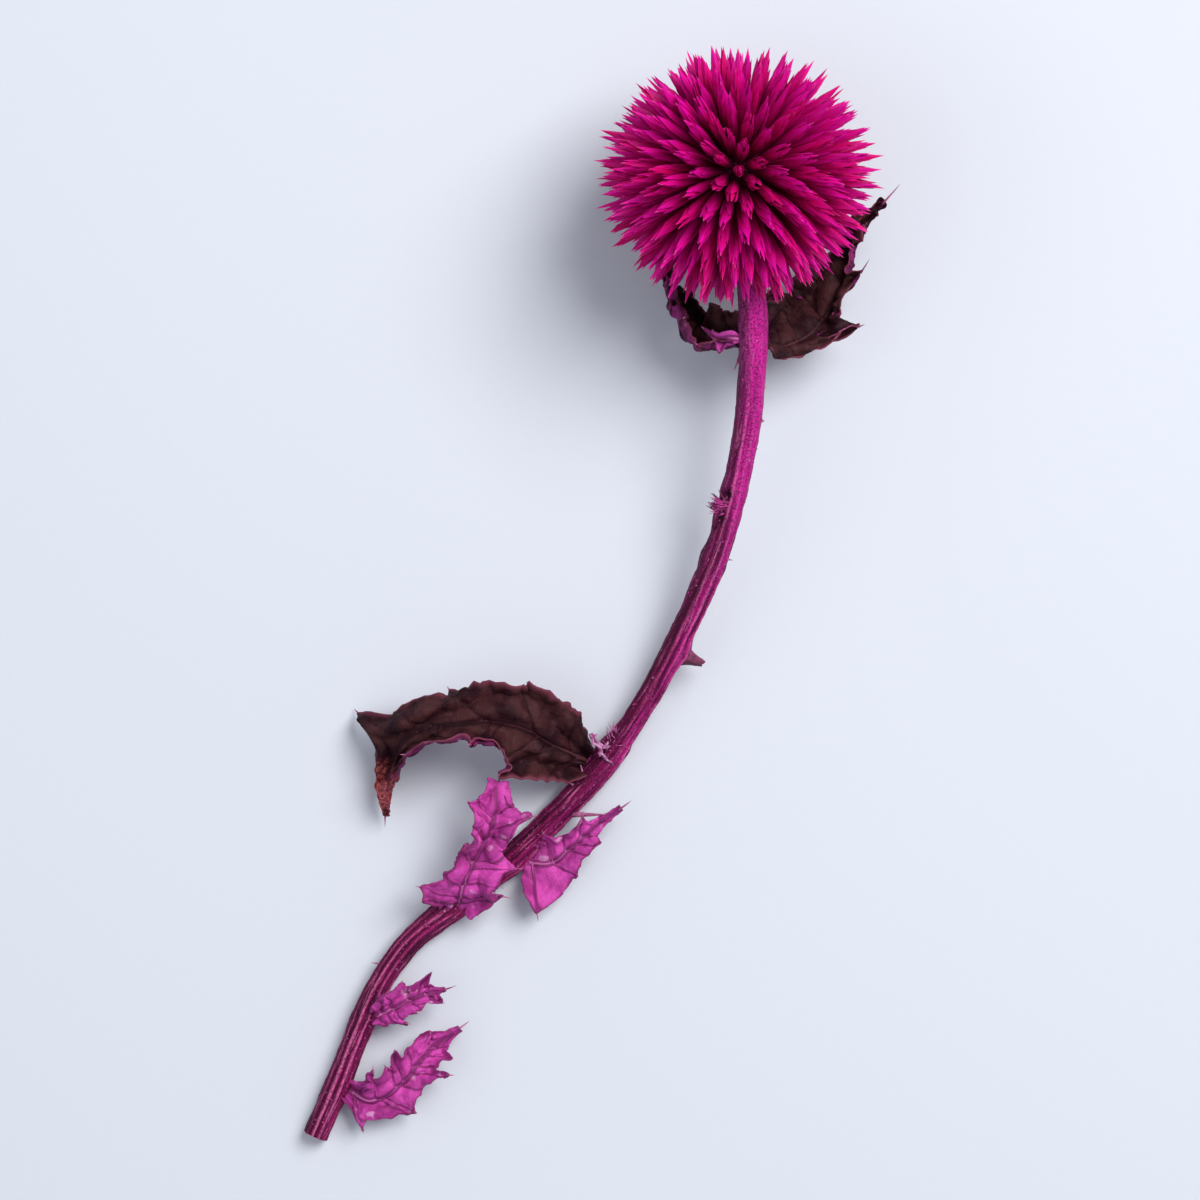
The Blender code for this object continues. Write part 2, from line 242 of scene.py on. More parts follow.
def settle(thing: bpy.types.Object) -> None:
    """Presses what would reach into the surface flat on it: the lowest stretch of heights is squeezed.

    Args:
        thing: The object whose mesh is pressed.
    """
    lowest, highest, floor = -0.5 * MM, 1.6 * MM, 0.02 * MM
    places = np.empty(len(thing.data.vertices) * 3, np.float32)
    thing.data.vertices.foreach_get("co", places)
    heights = places[2::3]
    low = heights < highest
    share = np.clip((heights[low] - lowest) / (highest - lowest), 0, 1)
    heights[low] = floor + (highest - floor) * share
    places[2::3] = heights
    thing.data.vertices.foreach_set("co", places)
    thing.data.update()


def belongs(piece: bpy.types.Object, slot: Slot, *nodes: str) -> None:
    """Rides a piece on the part, and lets it stand for nodes.

    Args:
        piece: The piece.
        slot: Its material slot; not used.
        nodes: The nodes that it stands for.
    """
    settle(piece)
    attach(piece, "root")
    if nodes:
        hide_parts(*nodes)
    piece.data.calc_loop_triangles()
    LOG.info("%s: %d triangles", piece.name, len(piece.data.loop_triangles))


# ---------------------------------------------------------------- node trees


class Graph:
    """A node tree under construction."""

    def __init__(self, tree: bpy.types.NodeTree) -> None:
        """Starts on a tree."""
        self.tree = tree

    def node(self, kind: str, inputs: dict[Any, Any] | None = None, **settings: Any) -> bpy.types.Node:
        """Adds a node.

        Args:
            kind: The node's type.
            inputs: Its inputs, by name or number: a value, or the output of another node.
            settings: Its own properties.

        Returns:
            The node.
        """
        made = self.tree.nodes.new(kind)
        for name, value in settings.items():
            setattr(made, name, value)
        for key, value in (inputs or {}).items():
            socket = made.inputs[key]
            if isinstance(value, bpy.types.NodeSocket):
                self.tree.links.new(value, socket)
            else:
                socket.default_value = value
        return made

    def math(self, operation: str, first: Any, second: Any = 0.0, third: Any = 0.0) -> bpy.types.NodeSocket:
        """The result of a Math node."""
        return self.node("ShaderNodeMath", {0: first, 1: second, 2: third}, operation=operation).outputs[0]

    def mix(self, factor: Any, first: Any, second: Any, blend: str = "MIX") -> bpy.types.NodeSocket:
        """The result of a Mix node on colours.

        Args:
            factor: How much of the second there is.
            first: The first colour.
            second: The second colour.
            blend: The way they are blended.

        Returns:
            The mixed colour.
        """
        first = (*first, 1.0) if isinstance(first, tuple) else first
        second = (*second, 1.0) if isinstance(second, tuple) else second
        made = self.node(
            "ShaderNodeMix", {0: factor, 6: first, 7: second}, data_type="RGBA", blend_type=blend
        )
        return made.outputs[2]

    def ramp(self, factor: Any, stops: list[tuple[float, Colour]]) -> bpy.types.NodeSocket:
        """The colour of a Color Ramp node with these stops.

        Args:
            factor: The place on the ramp.
            stops: The places of the colours, and the colours.

        Returns:
            The colour.
        """
        made = self.node("ShaderNodeValToRGB", {"Fac": factor})
        elements = made.color_ramp.elements
        while len(elements) < len(stops):
            elements.new(1.0)
        for element, (place, colour) in zip(elements, stops):
            element.position = place
            element.color = (*colour, 1.0)
        return made.outputs["Color"]

    def band(self, value: Any, low: float, high: float) -> bpy.types.NodeSocket:
        """A value stretched so that low becomes 0 and high becomes 1, smoothly and clamped."""
        made = self.node("ShaderNodeMapRange", {0: value, 1: low, 2: high}, interpolation_type="SMOOTHSTEP")
        return made.outputs[0]

    def noise(
        self, place: Any, scale: float, detail: float = 3.0, rough: float = 0.5
    ) -> bpy.types.NodeSocket:
        """The value of a Noise Texture."""
        inputs = {"Vector": place, "Scale": scale, "Detail": detail, "Roughness": rough}
        return self.node("ShaderNodeTexNoise", inputs).outputs["Fac"]

    def attribute(self, name: str) -> bpy.types.NodeSocket:
        """The value of a mesh attribute."""
        return self.node("ShaderNodeAttribute", attribute_name=name).outputs["Fac"]


SOCKETS = {
    "float": "NodeSocketFloat",
    "vector": "NodeSocketVector",
    "colour": "NodeSocketColor",
    "geometry": "NodeSocketGeometry",
    "object": "NodeSocketObject",
    "material": "NodeSocketMaterial",
    "integer": "NodeSocketInt",
}


def node_group(
    name: str, kind: str, inputs: dict[str, str], outputs: dict[str, str]
) -> tuple[Graph, Any, Any]:
    """An empty node group with named sockets.

    Args:
        name: The group's name.
        kind: The type of its tree.
        inputs: Its inputs, by name, each with its kind of socket.
        outputs: Its outputs, in the same way.

    Returns:
        The graph, the outputs of its Group Input node and the inputs of its Group Output node.
    """
    tree = bpy.data.node_groups.new(name, kind)
    for direction, sockets in (("INPUT", inputs), ("OUTPUT", outputs)):
        for label, socket in sockets.items():
            tree.interface.new_socket(label, in_out=direction, socket_type=SOCKETS[socket])
    graph = Graph(tree)
    return graph, graph.node("NodeGroupInput").outputs, graph.node("NodeGroupOutput").inputs


class ShaderEffects:
    """The shader node groups that several finishes share."""

    def __init__(self) -> None:
        """Builds the groups."""
        self.mottle = self.build_mottle()
        self.fibres = self.build_fibres()
        self.bare = self.build_bare()

    def build_mottle(self) -> bpy.types.NodeTree:
        """Two colours in soft uneven patches."""
        inputs = {"Place": "vector", "Scale": "float", "First": "colour", "Second": "colour"}
        graph, given, result = node_group("uneven_dye", "ShaderNodeTree", inputs, {"Colour": "colour"})
        made = graph.node(
            "ShaderNodeTexNoise", {"Vector": given["Place"], "Scale": given["Scale"], "Detail": 5.0}
        )
        mask = graph.band(made.outputs["Fac"], 0.36, 0.64)
        graph.tree.links.new(graph.mix(mask, given["First"], given["Second"]), result["Colour"])
        return graph.tree

    def build_fibres(self) -> bpy.types.NodeTree:
        """Fine fibres that run along V: a height that is low between them."""
        inputs = {"Place": "vector", "Across": "float", "Along": "float"}
        graph, given, result = node_group("dry_fibres", "ShaderNodeTree", inputs, {"Height": "float"})
        apart = graph.node("ShaderNodeSeparateXYZ", {0: given["Place"]}).outputs
        across = graph.math("MULTIPLY", apart[0], given["Across"])
        along = graph.math("MULTIPLY", apart[1], given["Along"])
        place = graph.node("ShaderNodeCombineXYZ", {0: across, 1: along}).outputs[0]
        graph.tree.links.new(graph.noise(place, 1.0, 4.0, 0.6), result["Height"])
        return graph.tree

    def build_bare(self) -> bpy.types.NodeTree:
        """Small spots, such as those that the dye missed: a mask; on the leaves its pale spots also stand as
        painted highlights.
        """
        inputs = {"Place": "vector", "Scale": "float", "Amount": "float"}
        graph, given, result = node_group("missed_by_dye", "ShaderNodeTree", inputs, {"Mask": "float"})
        made = graph.node(
            "ShaderNodeTexNoise", {"Vector": given["Place"], "Scale": given["Scale"], "Detail": 6.0}
        )
        over = graph.math("SUBTRACT", graph.math("ADD", made.outputs["Fac"], given["Amount"]), 1.0)
        mask = graph.node("ShaderNodeMapRange", {0: over, 1: 0.0, 2: 0.06}).outputs[0]
        graph.tree.links.new(mask, result["Mask"])
        return graph.tree


def use_group(graph: Graph, tree: bpy.types.NodeTree, inputs: dict[str, Any]) -> bpy.types.NodeSocket:
    """The first output of a node group placed in a material.

    Args:
        graph: The graph of the material.
        tree: The group's tree.
        inputs: Its inputs, by name.

    Returns:
        The group's first output.
    """
    made = graph.node("ShaderNodeGroup", node_tree=tree)
    for name, value in inputs.items():
        if isinstance(value, bpy.types.NodeSocket):
            graph.tree.links.new(value, made.inputs[name])
        else:
            made.inputs[name].default_value = (*value, 1.0) if isinstance(value, tuple) else value
    return made.outputs[0]


def new_material(name: str, sheen: float = 0.0, sheen_tint: Colour = (1, 1, 1)) -> tuple[Any, Graph, Any]:
    """A Principled material; gives the material, its graph and its shader node.

    Args:
        name: The material's name.
        sheen: Its sheen weight.
        sheen_tint: The colour of the sheen.

    Returns:
        The material, its graph and its shader node.
    """
    material = bpy.data.materials.new(name)
    material.use_nodes = True
    shader = material.node_tree.nodes["Principled BSDF"]
    shader.inputs["Sheen Weight"].default_value = sheen
    shader.inputs["Sheen Roughness"].default_value = 0.45
    shader.inputs["Sheen Tint"].default_value = (*sheen_tint, 1.0)
    return material, Graph(material.node_tree), shader


def finish_shader(graph: Graph, shader: Any, colour: Any, rough: Any, height: Any, distance: float) -> None:
    """Links colour, roughness and a bump of a real height, in metres, to the shader.

    Args:
        graph: The graph of the material.
        shader: The shader node.
        colour: The base colour.
        rough: The roughness.
        height: The height of the bump, from 0 to 1.
        distance: The height that 1 stands for, in metres.
    """
    graph.tree.links.new(colour, shader.inputs["Base Color"])
    graph.tree.links.new(rough, shader.inputs["Roughness"])
    bump = graph.node("ShaderNodeBump", {"Height": height, "Distance": distance, "Strength": 1.0})
    graph.tree.links.new(bump.outputs[0], shader.inputs["Normal"])


# ---------------------------------------------------------------- finishes


@dataclass(frozen=True)
class FloretFinish:
    """Dyed bracts: wine-dark at the foot, hot magenta outside, with pale thorn points; the dark foot is
    painted shade deep among the florets, and the inner bracts are painted redder for light bounced among
    them.
    """

    # The foot and inner colours are darker as painted shade deep among the florets.
    foot: Colour = (0.26, 0.0, 0.060)
    inner: Colour = (0.33, 0.0, 0.076)
    outer: Colour = (0.57, 0.0005, 0.20)
    point: Colour = (0.77, 0.004, 0.43)
    thorn: Colour = (0.82, 0.18, 0.52)
    # A red tint that paints the light bounced among the inner bracts; it also reddens random florets.
    crimson: Colour = (0.96, 0.5, 0.46)
    shade: Colour = (0.060, 0.0, 0.015)

    def material(self, effects: ShaderEffects) -> bpy.types.Material:
        """The material; it reads along, layer, tone and shade from the bracts.

        Args:
            effects: The shared node groups.

        Returns:
            The material.
        """
        material, graph, shader = new_material("dyed_bracts", 0.03, (1.0, 0.1, 0.7))
        shader.inputs["Specular IOR Level"].default_value = 0.13
        along = graph.attribute("along")
        # Darker towards the foot: painted shade deep among the florets.
        stops = [
            (0.12, self.foot),
            (0.46, self.inner),
            (0.75, self.outer),
            (0.955, self.point),
            (1.0, self.thorn),
        ]
        colour = graph.ramp(along, stops)
        # Painted light: the inner bracts are painted redder for the light that bounces among the bracts; the
        # tone adds a random redness per floret.
        redder = graph.math("MULTIPLY_ADD", graph.attribute("layer"), -0.5, 0.5)
        redder = graph.math("MULTIPLY_ADD", graph.band(graph.attribute("tone"), 0.3, 1.0), 0.5, redder)
        colour = graph.mix(redder, colour, graph.mix(1.0, colour, self.crimson, "MULTIPLY"))
        darker = graph.math("MULTIPLY_ADD", graph.attribute("shade"), 0.3, 0.8)
        lit = graph.node("ShaderNodeCombineXYZ", {0: darker, 1: darker, 2: darker}).outputs[0]
        colour = graph.mix(1.0, colour, lit, "MULTIPLY")
        place = graph.node("ShaderNodeUVMap", uv_map="surface").outputs[0]
        fibre = use_group(graph, effects.fibres, {"Place": place, "Across": 3600.0, "Along": 160.0})
        streak = graph.band(fibre, 0.42, 0.72)
        colour = graph.mix(graph.math("MULTIPLY", streak, 0.22), colour, self.shade)
        rough = graph.math("MULTIPLY_ADD", fibre, 0.3, 0.33)
        finish_shader(graph, shader, colour, rough, fibre, 0.07 * MM)
        return material


@dataclass(frozen=True)
class StemFinish:
    """A ridged dry stem: dark furrows of painted shade, paler ridge lines and spots that the dye missed, with
    painted shade on its left side and painted light on its right side.
    """

    furrow: Colour = (0.030, 0.0015, 0.015)
    flank: Colour = (0.165, 0.003, 0.052)
    crest: Colour = (0.30, 0.018, 0.115)
    line: Colour = (0.60, 0.13, 0.32)
    # The next three colours are painted shade on the stem's left side; the third also colours the dark dots.
    dull: Colour = (0.22, 0.040, 0.15)
    wine: Colour = (0.105, 0.006, 0.054)
    dots_and_shade_patches: Colour = (0.060, 0.003, 0.032)
    # The upper stem's own fresh magenta, which is also painted on the right side as light.
    fresh_and_painted_light: Colour = (0.62, 0.016, 0.31)
    missed: Colour = (0.70, 0.34, 0.55)
    brown: Colour = (0.060, 0.010, 0.014)
    receptacle: Colour = (0.10, 0.0, 0.028)

    def material(self, effects: ShaderEffects) -> bpy.types.Material:
        """The material; it reads ridge, along, dull, bright and pit from the stem.

        Args:
            effects: The shared node groups.

        Returns:
            The material.
        """
        material, graph, shader = new_material("ridged_stem")
        shader.inputs["Specular IOR Level"].default_value = 0.12
        place = graph.node("ShaderNodeUVMap", uv_map="surface").outputs[0]
        ridge = graph.attribute("ridge")
        along = graph.attribute("along")
        # The furrows get the darkest colour: painted shade in the creases between the ridges.
        stops = [(0.03, self.furrow), (0.3, self.flank), (0.6, self.crest), (0.86, self.line)]
        colour = graph.ramp(ridge, stops)
        dry = use_group(graph, effects.fibres, {"Place": place, "Across": 420.0, "Along": 60.0})
        colour = graph.mix(graph.math("MULTIPLY", graph.band(dry, 0.5, 0.7), 0.6), colour, self.brown)
        worn = graph.math("ADD", along, graph.math("MULTIPLY_ADD", dry, 0.5, -0.25))
        upper = graph.band(worn, 0.46, 0.12)
        colour = graph.mix(graph.math("MULTIPLY", upper, 0.88), colour, self.fresh_and_painted_light)
        # Painted shade: the left side is painted darker in patches, lilac near the head and wine lower down.
        dull = graph.band(graph.attribute("dull"), 0.2, 0.8)
        dull = graph.math("MULTIPLY", dull, graph.math("MULTIPLY_ADD", upper, 0.35, 0.5))
        patch_noise = use_group(graph, effects.fibres, {"Place": place, "Across": 1050.0, "Along": 370.0})
        side = graph.mix(graph.band(worn, 0.28, 0.16), self.wine, self.dull)
        patches = graph.mix(graph.band(patch_noise, 0.42, 0.58), side, self.dots_and_shade_patches)
        colour = graph.mix(dull, colour, patches)
        # Painted light: the right side is painted with the fresh magenta, less of it lower down the stem.
        painted_light_strength = graph.math("MULTIPLY_ADD", graph.band(worn, 0.75, 0.40), 0.34, 0.12)
        bright = graph.math("MULTIPLY", graph.band(graph.attribute("bright"), 0.1, 0.9), painted_light_strength)
        colour = graph.mix(bright, colour, self.fresh_and_painted_light)
        colour = graph.mix(graph.math("MULTIPLY", graph.band(patch_noise, 0.54, 0.68), 0.38), colour, self.flank)
        streaked = graph.math("MULTIPLY_ADD", upper, -0.5, 0.74)
        streaks = use_group(graph, effects.fibres, {"Place": place, "Across": 1300.0, "Along": 75.0})
        dark = graph.math("MULTIPLY", graph.band(streaks, 0.46, 0.60), streaked)
        colour = graph.mix(dark, colour, self.furrow)
        pale = use_group(graph, effects.fibres, {"Place": place, "Across": 1900.0, "Along": 120.0})
        light = graph.math("MULTIPLY", graph.band(pale, 0.56, 0.68), streaked)
        colour = graph.mix(light, colour, self.line)
        dots = use_group(graph, effects.bare, {"Place": place, "Scale": 2600.0, "Amount": 0.455})
        colour = graph.mix(graph.math("MULTIPLY", dots, 0.55), colour, self.dots_and_shade_patches)
        # Painted shade: the holes are painted with the furrows' dark colour.
        colour = graph.mix(graph.attribute("pit"), colour, self.furrow)
        missed = use_group(graph, effects.bare, {"Place": place, "Scale": 1500.0, "Amount": 0.335})
        colour = graph.mix(graph.math("MULTIPLY", missed, 0.8), colour, self.missed)
        colour = graph.mix(graph.band(along, 0.078, 0.060), colour, self.receptacle)
        fine = use_group(graph, effects.fibres, {"Place": place, "Across": 4600.0, "Along": 400.0})
        rough = graph.math("MULTIPLY_ADD", fine, 0.3, 0.36)
        height = graph.math("MULTIPLY_ADD", streaks, -0.7, graph.math("MULTIPLY", fine, 0.5))
        height = graph.math("MULTIPLY_ADD", dots, 0.3, height)
        height = graph.math("MULTIPLY_ADD", missed, 0.25, height)
        finish_shader(graph, shader, colour, rough, height, 0.40 * MM)
        return material


@dataclass(frozen=True)
class LeafFinish:
    """A dry leaf: one colour above, another beneath, with veins, a margin and pale spots, which are partly
    spots without dye and partly painted highlights.
    """

    name: str
    upper: tuple[Colour, Colour]
    under: tuple[Colour, Colour]
    # The dark vein colour: partly the veins' own colour and partly painted shade in the creases beside them.
    vein: Colour
    rib: Colour
    shadow: Colour
    margin: Colour
    tip: tuple[Colour, Colour]
    # Pale spots: partly spots without dye and partly painted highlights.
    missed: Colour
    pale_spot_amount: float
    pale_spot_share_above: float
    sheen: float
    gloss: float

    def material(self, effects: ShaderEffects) -> bpy.types.Material:
        """The material; it reads side, vein, edge and tip from the leaf.

        Args:
            effects: The shared node groups.

        Returns:
            The material.
        """
        material, graph, shader = new_material(self.name, self.sheen, (1.0, 0.65, 0.9))
        shader.inputs["Specular IOR Level"].default_value = self.gloss
        place = graph.node("ShaderNodeTexCoord").outputs["Object"]
        faces = []
        for scale, (first, second) in ((210.0, self.upper), (260.0, self.under)):
            values = {"Place": place, "Scale": scale, "First": first, "Second": second}
            faces.append(use_group(graph, effects.mottle, values))
        side = graph.attribute("side")
        warp = graph.node(
            "ShaderNodeTexNoise", {"Vector": place, "Scale": 500.0, "Detail": 2.0}
        ).outputs["Color"]
        shift = graph.node(
            "ShaderNodeVectorMath", {0: warp, 1: (0.0012, 0.0012, 0.0012)}, operation="MULTIPLY"
        )
        bent = graph.node("ShaderNodeVectorMath", {0: place, 1: shift.outputs[0]}, operation="ADD").outputs[0]
        cells = graph.node(
            "ShaderNodeTexVoronoi", {"Vector": bent, "Scale": 1200.0}, feature="DISTANCE_TO_EDGE"
        )
        net = graph.band(cells.outputs[0], 0.14, 0.0)
        # Pale spots, partly without dye and partly painted highlights.
        missed = use_group(
            graph, effects.bare, {"Place": place, "Scale": 330.0, "Amount": self.pale_spot_amount}
        )
        colour = graph.mix(side, faces[0], faces[1])
        grains = graph.band(graph.noise(place, 1700.0, 4.0, 0.65), 0.42, 0.58)
        colour = graph.mix(graph.attribute("tip"), colour, graph.mix(grains, *self.tip))
        by_side = graph.math("MULTIPLY_ADD", side, 0.75 - self.pale_spot_share_above, self.pale_spot_share_above)
        colour = graph.mix(graph.math("MULTIPLY", missed, by_side), colour, self.missed)
        colour = graph.mix(graph.math("MULTIPLY", net, 0.12), colour, self.shadow)
        vein = graph.attribute("vein")
        # Dark lines along the veins and beside the midrib: partly painted shade in the creases beside the
        # raised veins.
        colour = graph.mix(graph.math("MULTIPLY", graph.band(vein, 0.10, 0.55), 0.8), colour, self.vein)
        colour = graph.mix(graph.math("MULTIPLY", graph.band(vein, 0.72, 0.95), 0.7), colour, self.rib)
        colour = graph.mix(graph.math("MULTIPLY", graph.attribute("edge"), 0.75), colour, self.margin)
        grain = graph.noise(place, 2400.0, 4.0, 0.6)
        dark = graph.math("MULTIPLY_ADD", grain, 0.7, 0.65)
        grey = graph.node("ShaderNodeCombineXYZ", {0: dark, 1: dark, 2: dark}).outputs[0]
        colour = graph.mix(1.0, colour, grey, "MULTIPLY")
        rough = graph.math("MULTIPLY_ADD", grain, 0.35, 0.42)
        height = graph.math("MULTIPLY_ADD", net, -0.12, graph.math("MULTIPLY", grain, 0.6))
        finish_shader(graph, shader, colour, rough, height, 0.2 * MM)
        return material


@dataclass(frozen=True)
class PaleFinish:
    """Dry tissue with little dye in it, such as pith, torn fibres, hairs and thorns."""

    name: str
    light: Colour
    deep: Colour

    def material(self, effects: ShaderEffects) -> bpy.types.Material:
        """The material.

        Args:
            effects: The shared node groups.

        Returns:
            The material.
        """
        material, graph, shader = new_material(self.name, 0.1, (1.0, 0.8, 0.9))
        place = graph.node("ShaderNodeTexCoord").outputs["Object"]
        colour = use_group(
            graph, effects.mottle, {"Place": place, "Scale": 900.0, "First": self.light, "Second": self.deep}
        )
        grain = graph.noise(place, 5000.0, 3.0, 0.6)
        finish_shader(graph, shader, colour, graph.math("MULTIPLY_ADD", grain, 0.3, 0.5), grain, 0.1 * MM)
        return material


@dataclass(frozen=True)
class FloorFinish:
    """A plain pale matte surface."""

    colour: Colour = (0.61, 0.64, 0.705)

    def material(self) -> bpy.types.Material:
        """The material."""
        material, graph, shader = new_material("pale_floor")
        place = graph.node("ShaderNodeTexCoord").outputs["Object"]
        grain = graph.noise(place, 900.0, 2.0)
        colour = graph.mix(graph.math("MULTIPLY", grain, 0.04), self.colour, (1.0, 1.0, 1.0))
        finish_shader(graph, shader, colour, graph.math("MULTIPLY_ADD", grain, 0.1, 0.75), grain, 0.01 * MM)
        return material


# ---------------------------------------------------------------- what grows on points


@dataclass(frozen=True)
class Sprout:
    """A place where something grows: which way, how long and how wide."""

    place: Vector
    aim: Vector
    reach: float
    width: float = 1.0
    spin: float = 0.0
    tone: float = 0.5


def sprout_points(name: str, sprouts: list[Sprout]) -> bpy.types.Object:
    """An object with a vertex for each sprout, which carries the sprout's values.

    Args:
        name: The object's name.
        sprouts: The sprouts.

    Returns:
        The object.
    """
    thing = mesh_object(name, [s.place for s in sprouts], [])
    add_attribute(thing.data, "aim", np.array([s.aim for s in sprouts]))
    for label in ("reach", "width", "spin", "tone"):
        add_attribute(thing.data, label, np.array([getattr(s, label) for s in sprouts]))
    return thing


class GrowthTrees:
    """Geometry node trees that grow shapes on sprouts, or scatter them, and bake them into plain meshes."""

    BALL_SHARE = 0.075

    def __init__(self) -> None:
        """Builds the whorl group and the trees for florets, for single shapes and for scattered grains."""
        self.whorl = self.build_whorl()
        self.floret = self.build_tree("floret_row", ("Inner", "Middle", "Outer"))
        self.single = self.build_tree("single_whorl", ("Single",))
        self.scatter = self.build_scatter()

    def build_whorl(self) -> bpy.types.NodeTree:
        """A group: copies of a shape round each sprout's axis, as instances."""
        inputs = {
            "Points": "geometry",
            "Shape": "object",
            "Copies": "integer",
            "Turn": "float",
            "Turn Jitter": "float",
            "Lean": "float",
            "Lean Jitter": "float",
            "Length Jitter": "float",
            "Seed": "integer",
        }
        graph, given, result = node_group("whorl", "GeometryNodeTree", inputs, {"Instances": "geometry"})
        copies = graph.node(
            "GeometryNodeDuplicateElements",
            {"Geometry": given["Points"], "Amount": given["Copies"]},
            domain="POINT",
        )
        step = graph.math("DIVIDE", math.tau, given["Copies"])
        turn = graph.math("MULTIPLY_ADD", copies.outputs["Duplicate Index"], step, given["Turn"])
        turn = graph.math("ADD", turn, self.named(graph, "spin"))
        turn = graph.math("MULTIPLY_ADD", self.dice(graph, given["Seed"], 1), given["Turn Jitter"], turn)
        lean = graph.math(
            "MULTIPLY_ADD", self.dice(graph, given["Seed"], 2), given["Lean Jitter"], given["Lean"]
        )
        euler = graph.node("ShaderNodeCombineXYZ", {0: lean, 2: turn}).outputs[0]
        by = graph.node("FunctionNodeEulerToRotation", {0: euler}).outputs[0]
        aim = self.named(graph, "aim", "FLOAT_VECTOR")
        upright = graph.node("FunctionNodeAlignRotationToVector", {"Vector": aim}, axis="Z").outputs[0]
        rotation = graph.node(
            "FunctionNodeRotateRotation", {0: upright, 1: by}, rotation_space="LOCAL"
        ).outputs[0]
        longer = graph.math("MULTIPLY_ADD", self.dice(graph, given["Seed"], 3), given["Length Jitter"], 1.0)
        width = self.named(graph, "width")
        reach = graph.math("MULTIPLY", self.named(graph, "reach"), longer)
        scale = graph.node("ShaderNodeCombineXYZ", {0: width, 1: width, 2: reach}).outputs[0]
        shape = graph.node("GeometryNodeObjectInfo", {"Object": given["Shape"]}).outputs["Geometry"]
        instances = graph.node(
            "GeometryNodeInstanceOnPoints",
            {"Points": copies.outputs["Geometry"], "Instance": shape, "Rotation": rotation, "Scale": scale},
        ).outputs[0]
        shade = graph.math("MULTIPLY_ADD", self.dice(graph, given["Seed"], 4), 0.5, 0.5)
        stored = graph.node(
            "GeometryNodeStoreNamedAttribute",
            {"Geometry": instances, "Name": "shade", "Value": shade},
            data_type="FLOAT",
            domain="INSTANCE",
        )
        graph.tree.links.new(stored.outputs[0], result["Instances"])
        return graph.tree

    def named(self, graph: Graph, name: str, kind: str = "FLOAT") -> bpy.types.NodeSocket:
        """The value of a named attribute."""
        return graph.node(
            "GeometryNodeInputNamedAttribute", {"Name": name}, data_type=kind
        ).outputs["Attribute"]

    def dice(self, graph: Graph, seed: Any, lane: int) -> bpy.types.NodeSocket:
        """A random value from -1 to 1 for each element, with its own lane of the seed."""
        lane_seed = graph.math("ADD", seed, 101.0 * lane)
        return graph.node(
            "FunctionNodeRandomValue", {2: -1.0, 3: 1.0, 8: lane_seed}, data_type="FLOAT"
        ).outputs[1]

    def build_tree(self, name: str, whorls: tuple[str, ...]) -> bpy.types.NodeTree:
        """A tree of one or more whorls on the same sprouts, ending in a plain mesh with a material.

        Args:
            name: The tree's name.
            whorls: The labels of its whorls.

        Returns:
            The tree.
        """
        inputs = {"Geometry": "geometry"}
        for label in whorls:
            inputs[f"{label} Shape"] = "object"
            inputs[f"{label} Copies"] = "integer"
            inputs[f"{label} Turn"] = "float"
        inputs |= {
            "Turn Jitter": "float",
            "Lean": "float",
            "Lean Jitter": "float",
            "Length Jitter": "float",
            "Seed": "integer",
            "Material": "material",
        }
        graph, given, result = node_group(name, "GeometryNodeTree", inputs, {"Geometry": "geometry"})
        join = graph.node("GeometryNodeJoinGeometry")
        for number, label in enumerate(whorls):
            made = graph.node("GeometryNodeGroup", node_tree=self.whorl)
            links = {
                "Points": given["Geometry"],
                "Shape": given[f"{label} Shape"],
                "Copies": given[f"{label} Copies"],
                "Turn": given[f"{label} Turn"],
                "Seed": graph.math("ADD", given["Seed"], 17.0 * number),
            }
            for shared in ("Turn Jitter", "Lean", "Lean Jitter", "Length Jitter"):
                links[shared] = given[shared]
            for socket, source in links.items():
                graph.tree.links.new(source, made.inputs[socket])
            graph.tree.links.new(made.outputs[0], join.inputs[0])
        self.close(graph, join.outputs[0], given["Material"], result)
        return graph.tree

    def build_scatter(self) -> bpy.types.NodeTree:
        """A tree: a shape scattered over the stem, but not over the ball at its top, as a plain mesh."""
        inputs = {
            "Geometry": "geometry",
            "Shape": "object",
            "Density": "float",
            "Smallest": "float",
            "Largest": "float",
            "Seed": "integer",
            "Material": "material",
        }
        graph, given, result = node_group("scatter", "GeometryNodeTree", inputs, {"Geometry": "geometry"})
        below_ball = graph.math("GREATER_THAN", self.named(graph, "along"), self.BALL_SHARE)
        density = graph.math("MULTIPLY", given["Density"], below_ball)
        spread = graph.node(
            "GeometryNodeDistributePointsOnFaces",
            {"Mesh": given["Geometry"], "Density": density, "Seed": given["Seed"]},
        )
        share = graph.math("MULTIPLY_ADD", self.dice(graph, given["Seed"], 5), 0.5, 0.5)
        share = graph.math("POWER", share, 2.0)
        spread_of_sizes = graph.math("SUBTRACT", given["Largest"], given["Smallest"])
        size = graph.math("MULTIPLY_ADD", share, spread_of_sizes, given["Smallest"])
        shape = graph.node("GeometryNodeObjectInfo", {"Object": given["Shape"]}).outputs["Geometry"]
        instances = graph.node(
            "GeometryNodeInstanceOnPoints",
            {
                "Points": spread.outputs["Points"],
                "Instance": shape,
                "Rotation": spread.outputs["Rotation"],
                "Scale": size,
            },
        )
        self.close(graph, instances.outputs[0], given["Material"], result)
        return graph.tree

    def close(self, graph: Graph, geometry: Any, material: Any, result: Any) -> None:
        """Ends a tree in Realize Instances and Set Material.

        Args:
            graph: The graph of the tree.
            geometry: The geometry before its end.
            material: The material that it gets.
            result: The inputs of its Group Output node.
        """
        real = graph.node("GeometryNodeRealizeInstances", {"Geometry": geometry}).outputs[0]
        dressed = graph.node("GeometryNodeSetMaterial", {"Geometry": real, "Material": material}).outputs[0]
        graph.tree.links.new(dressed, result["Geometry"])

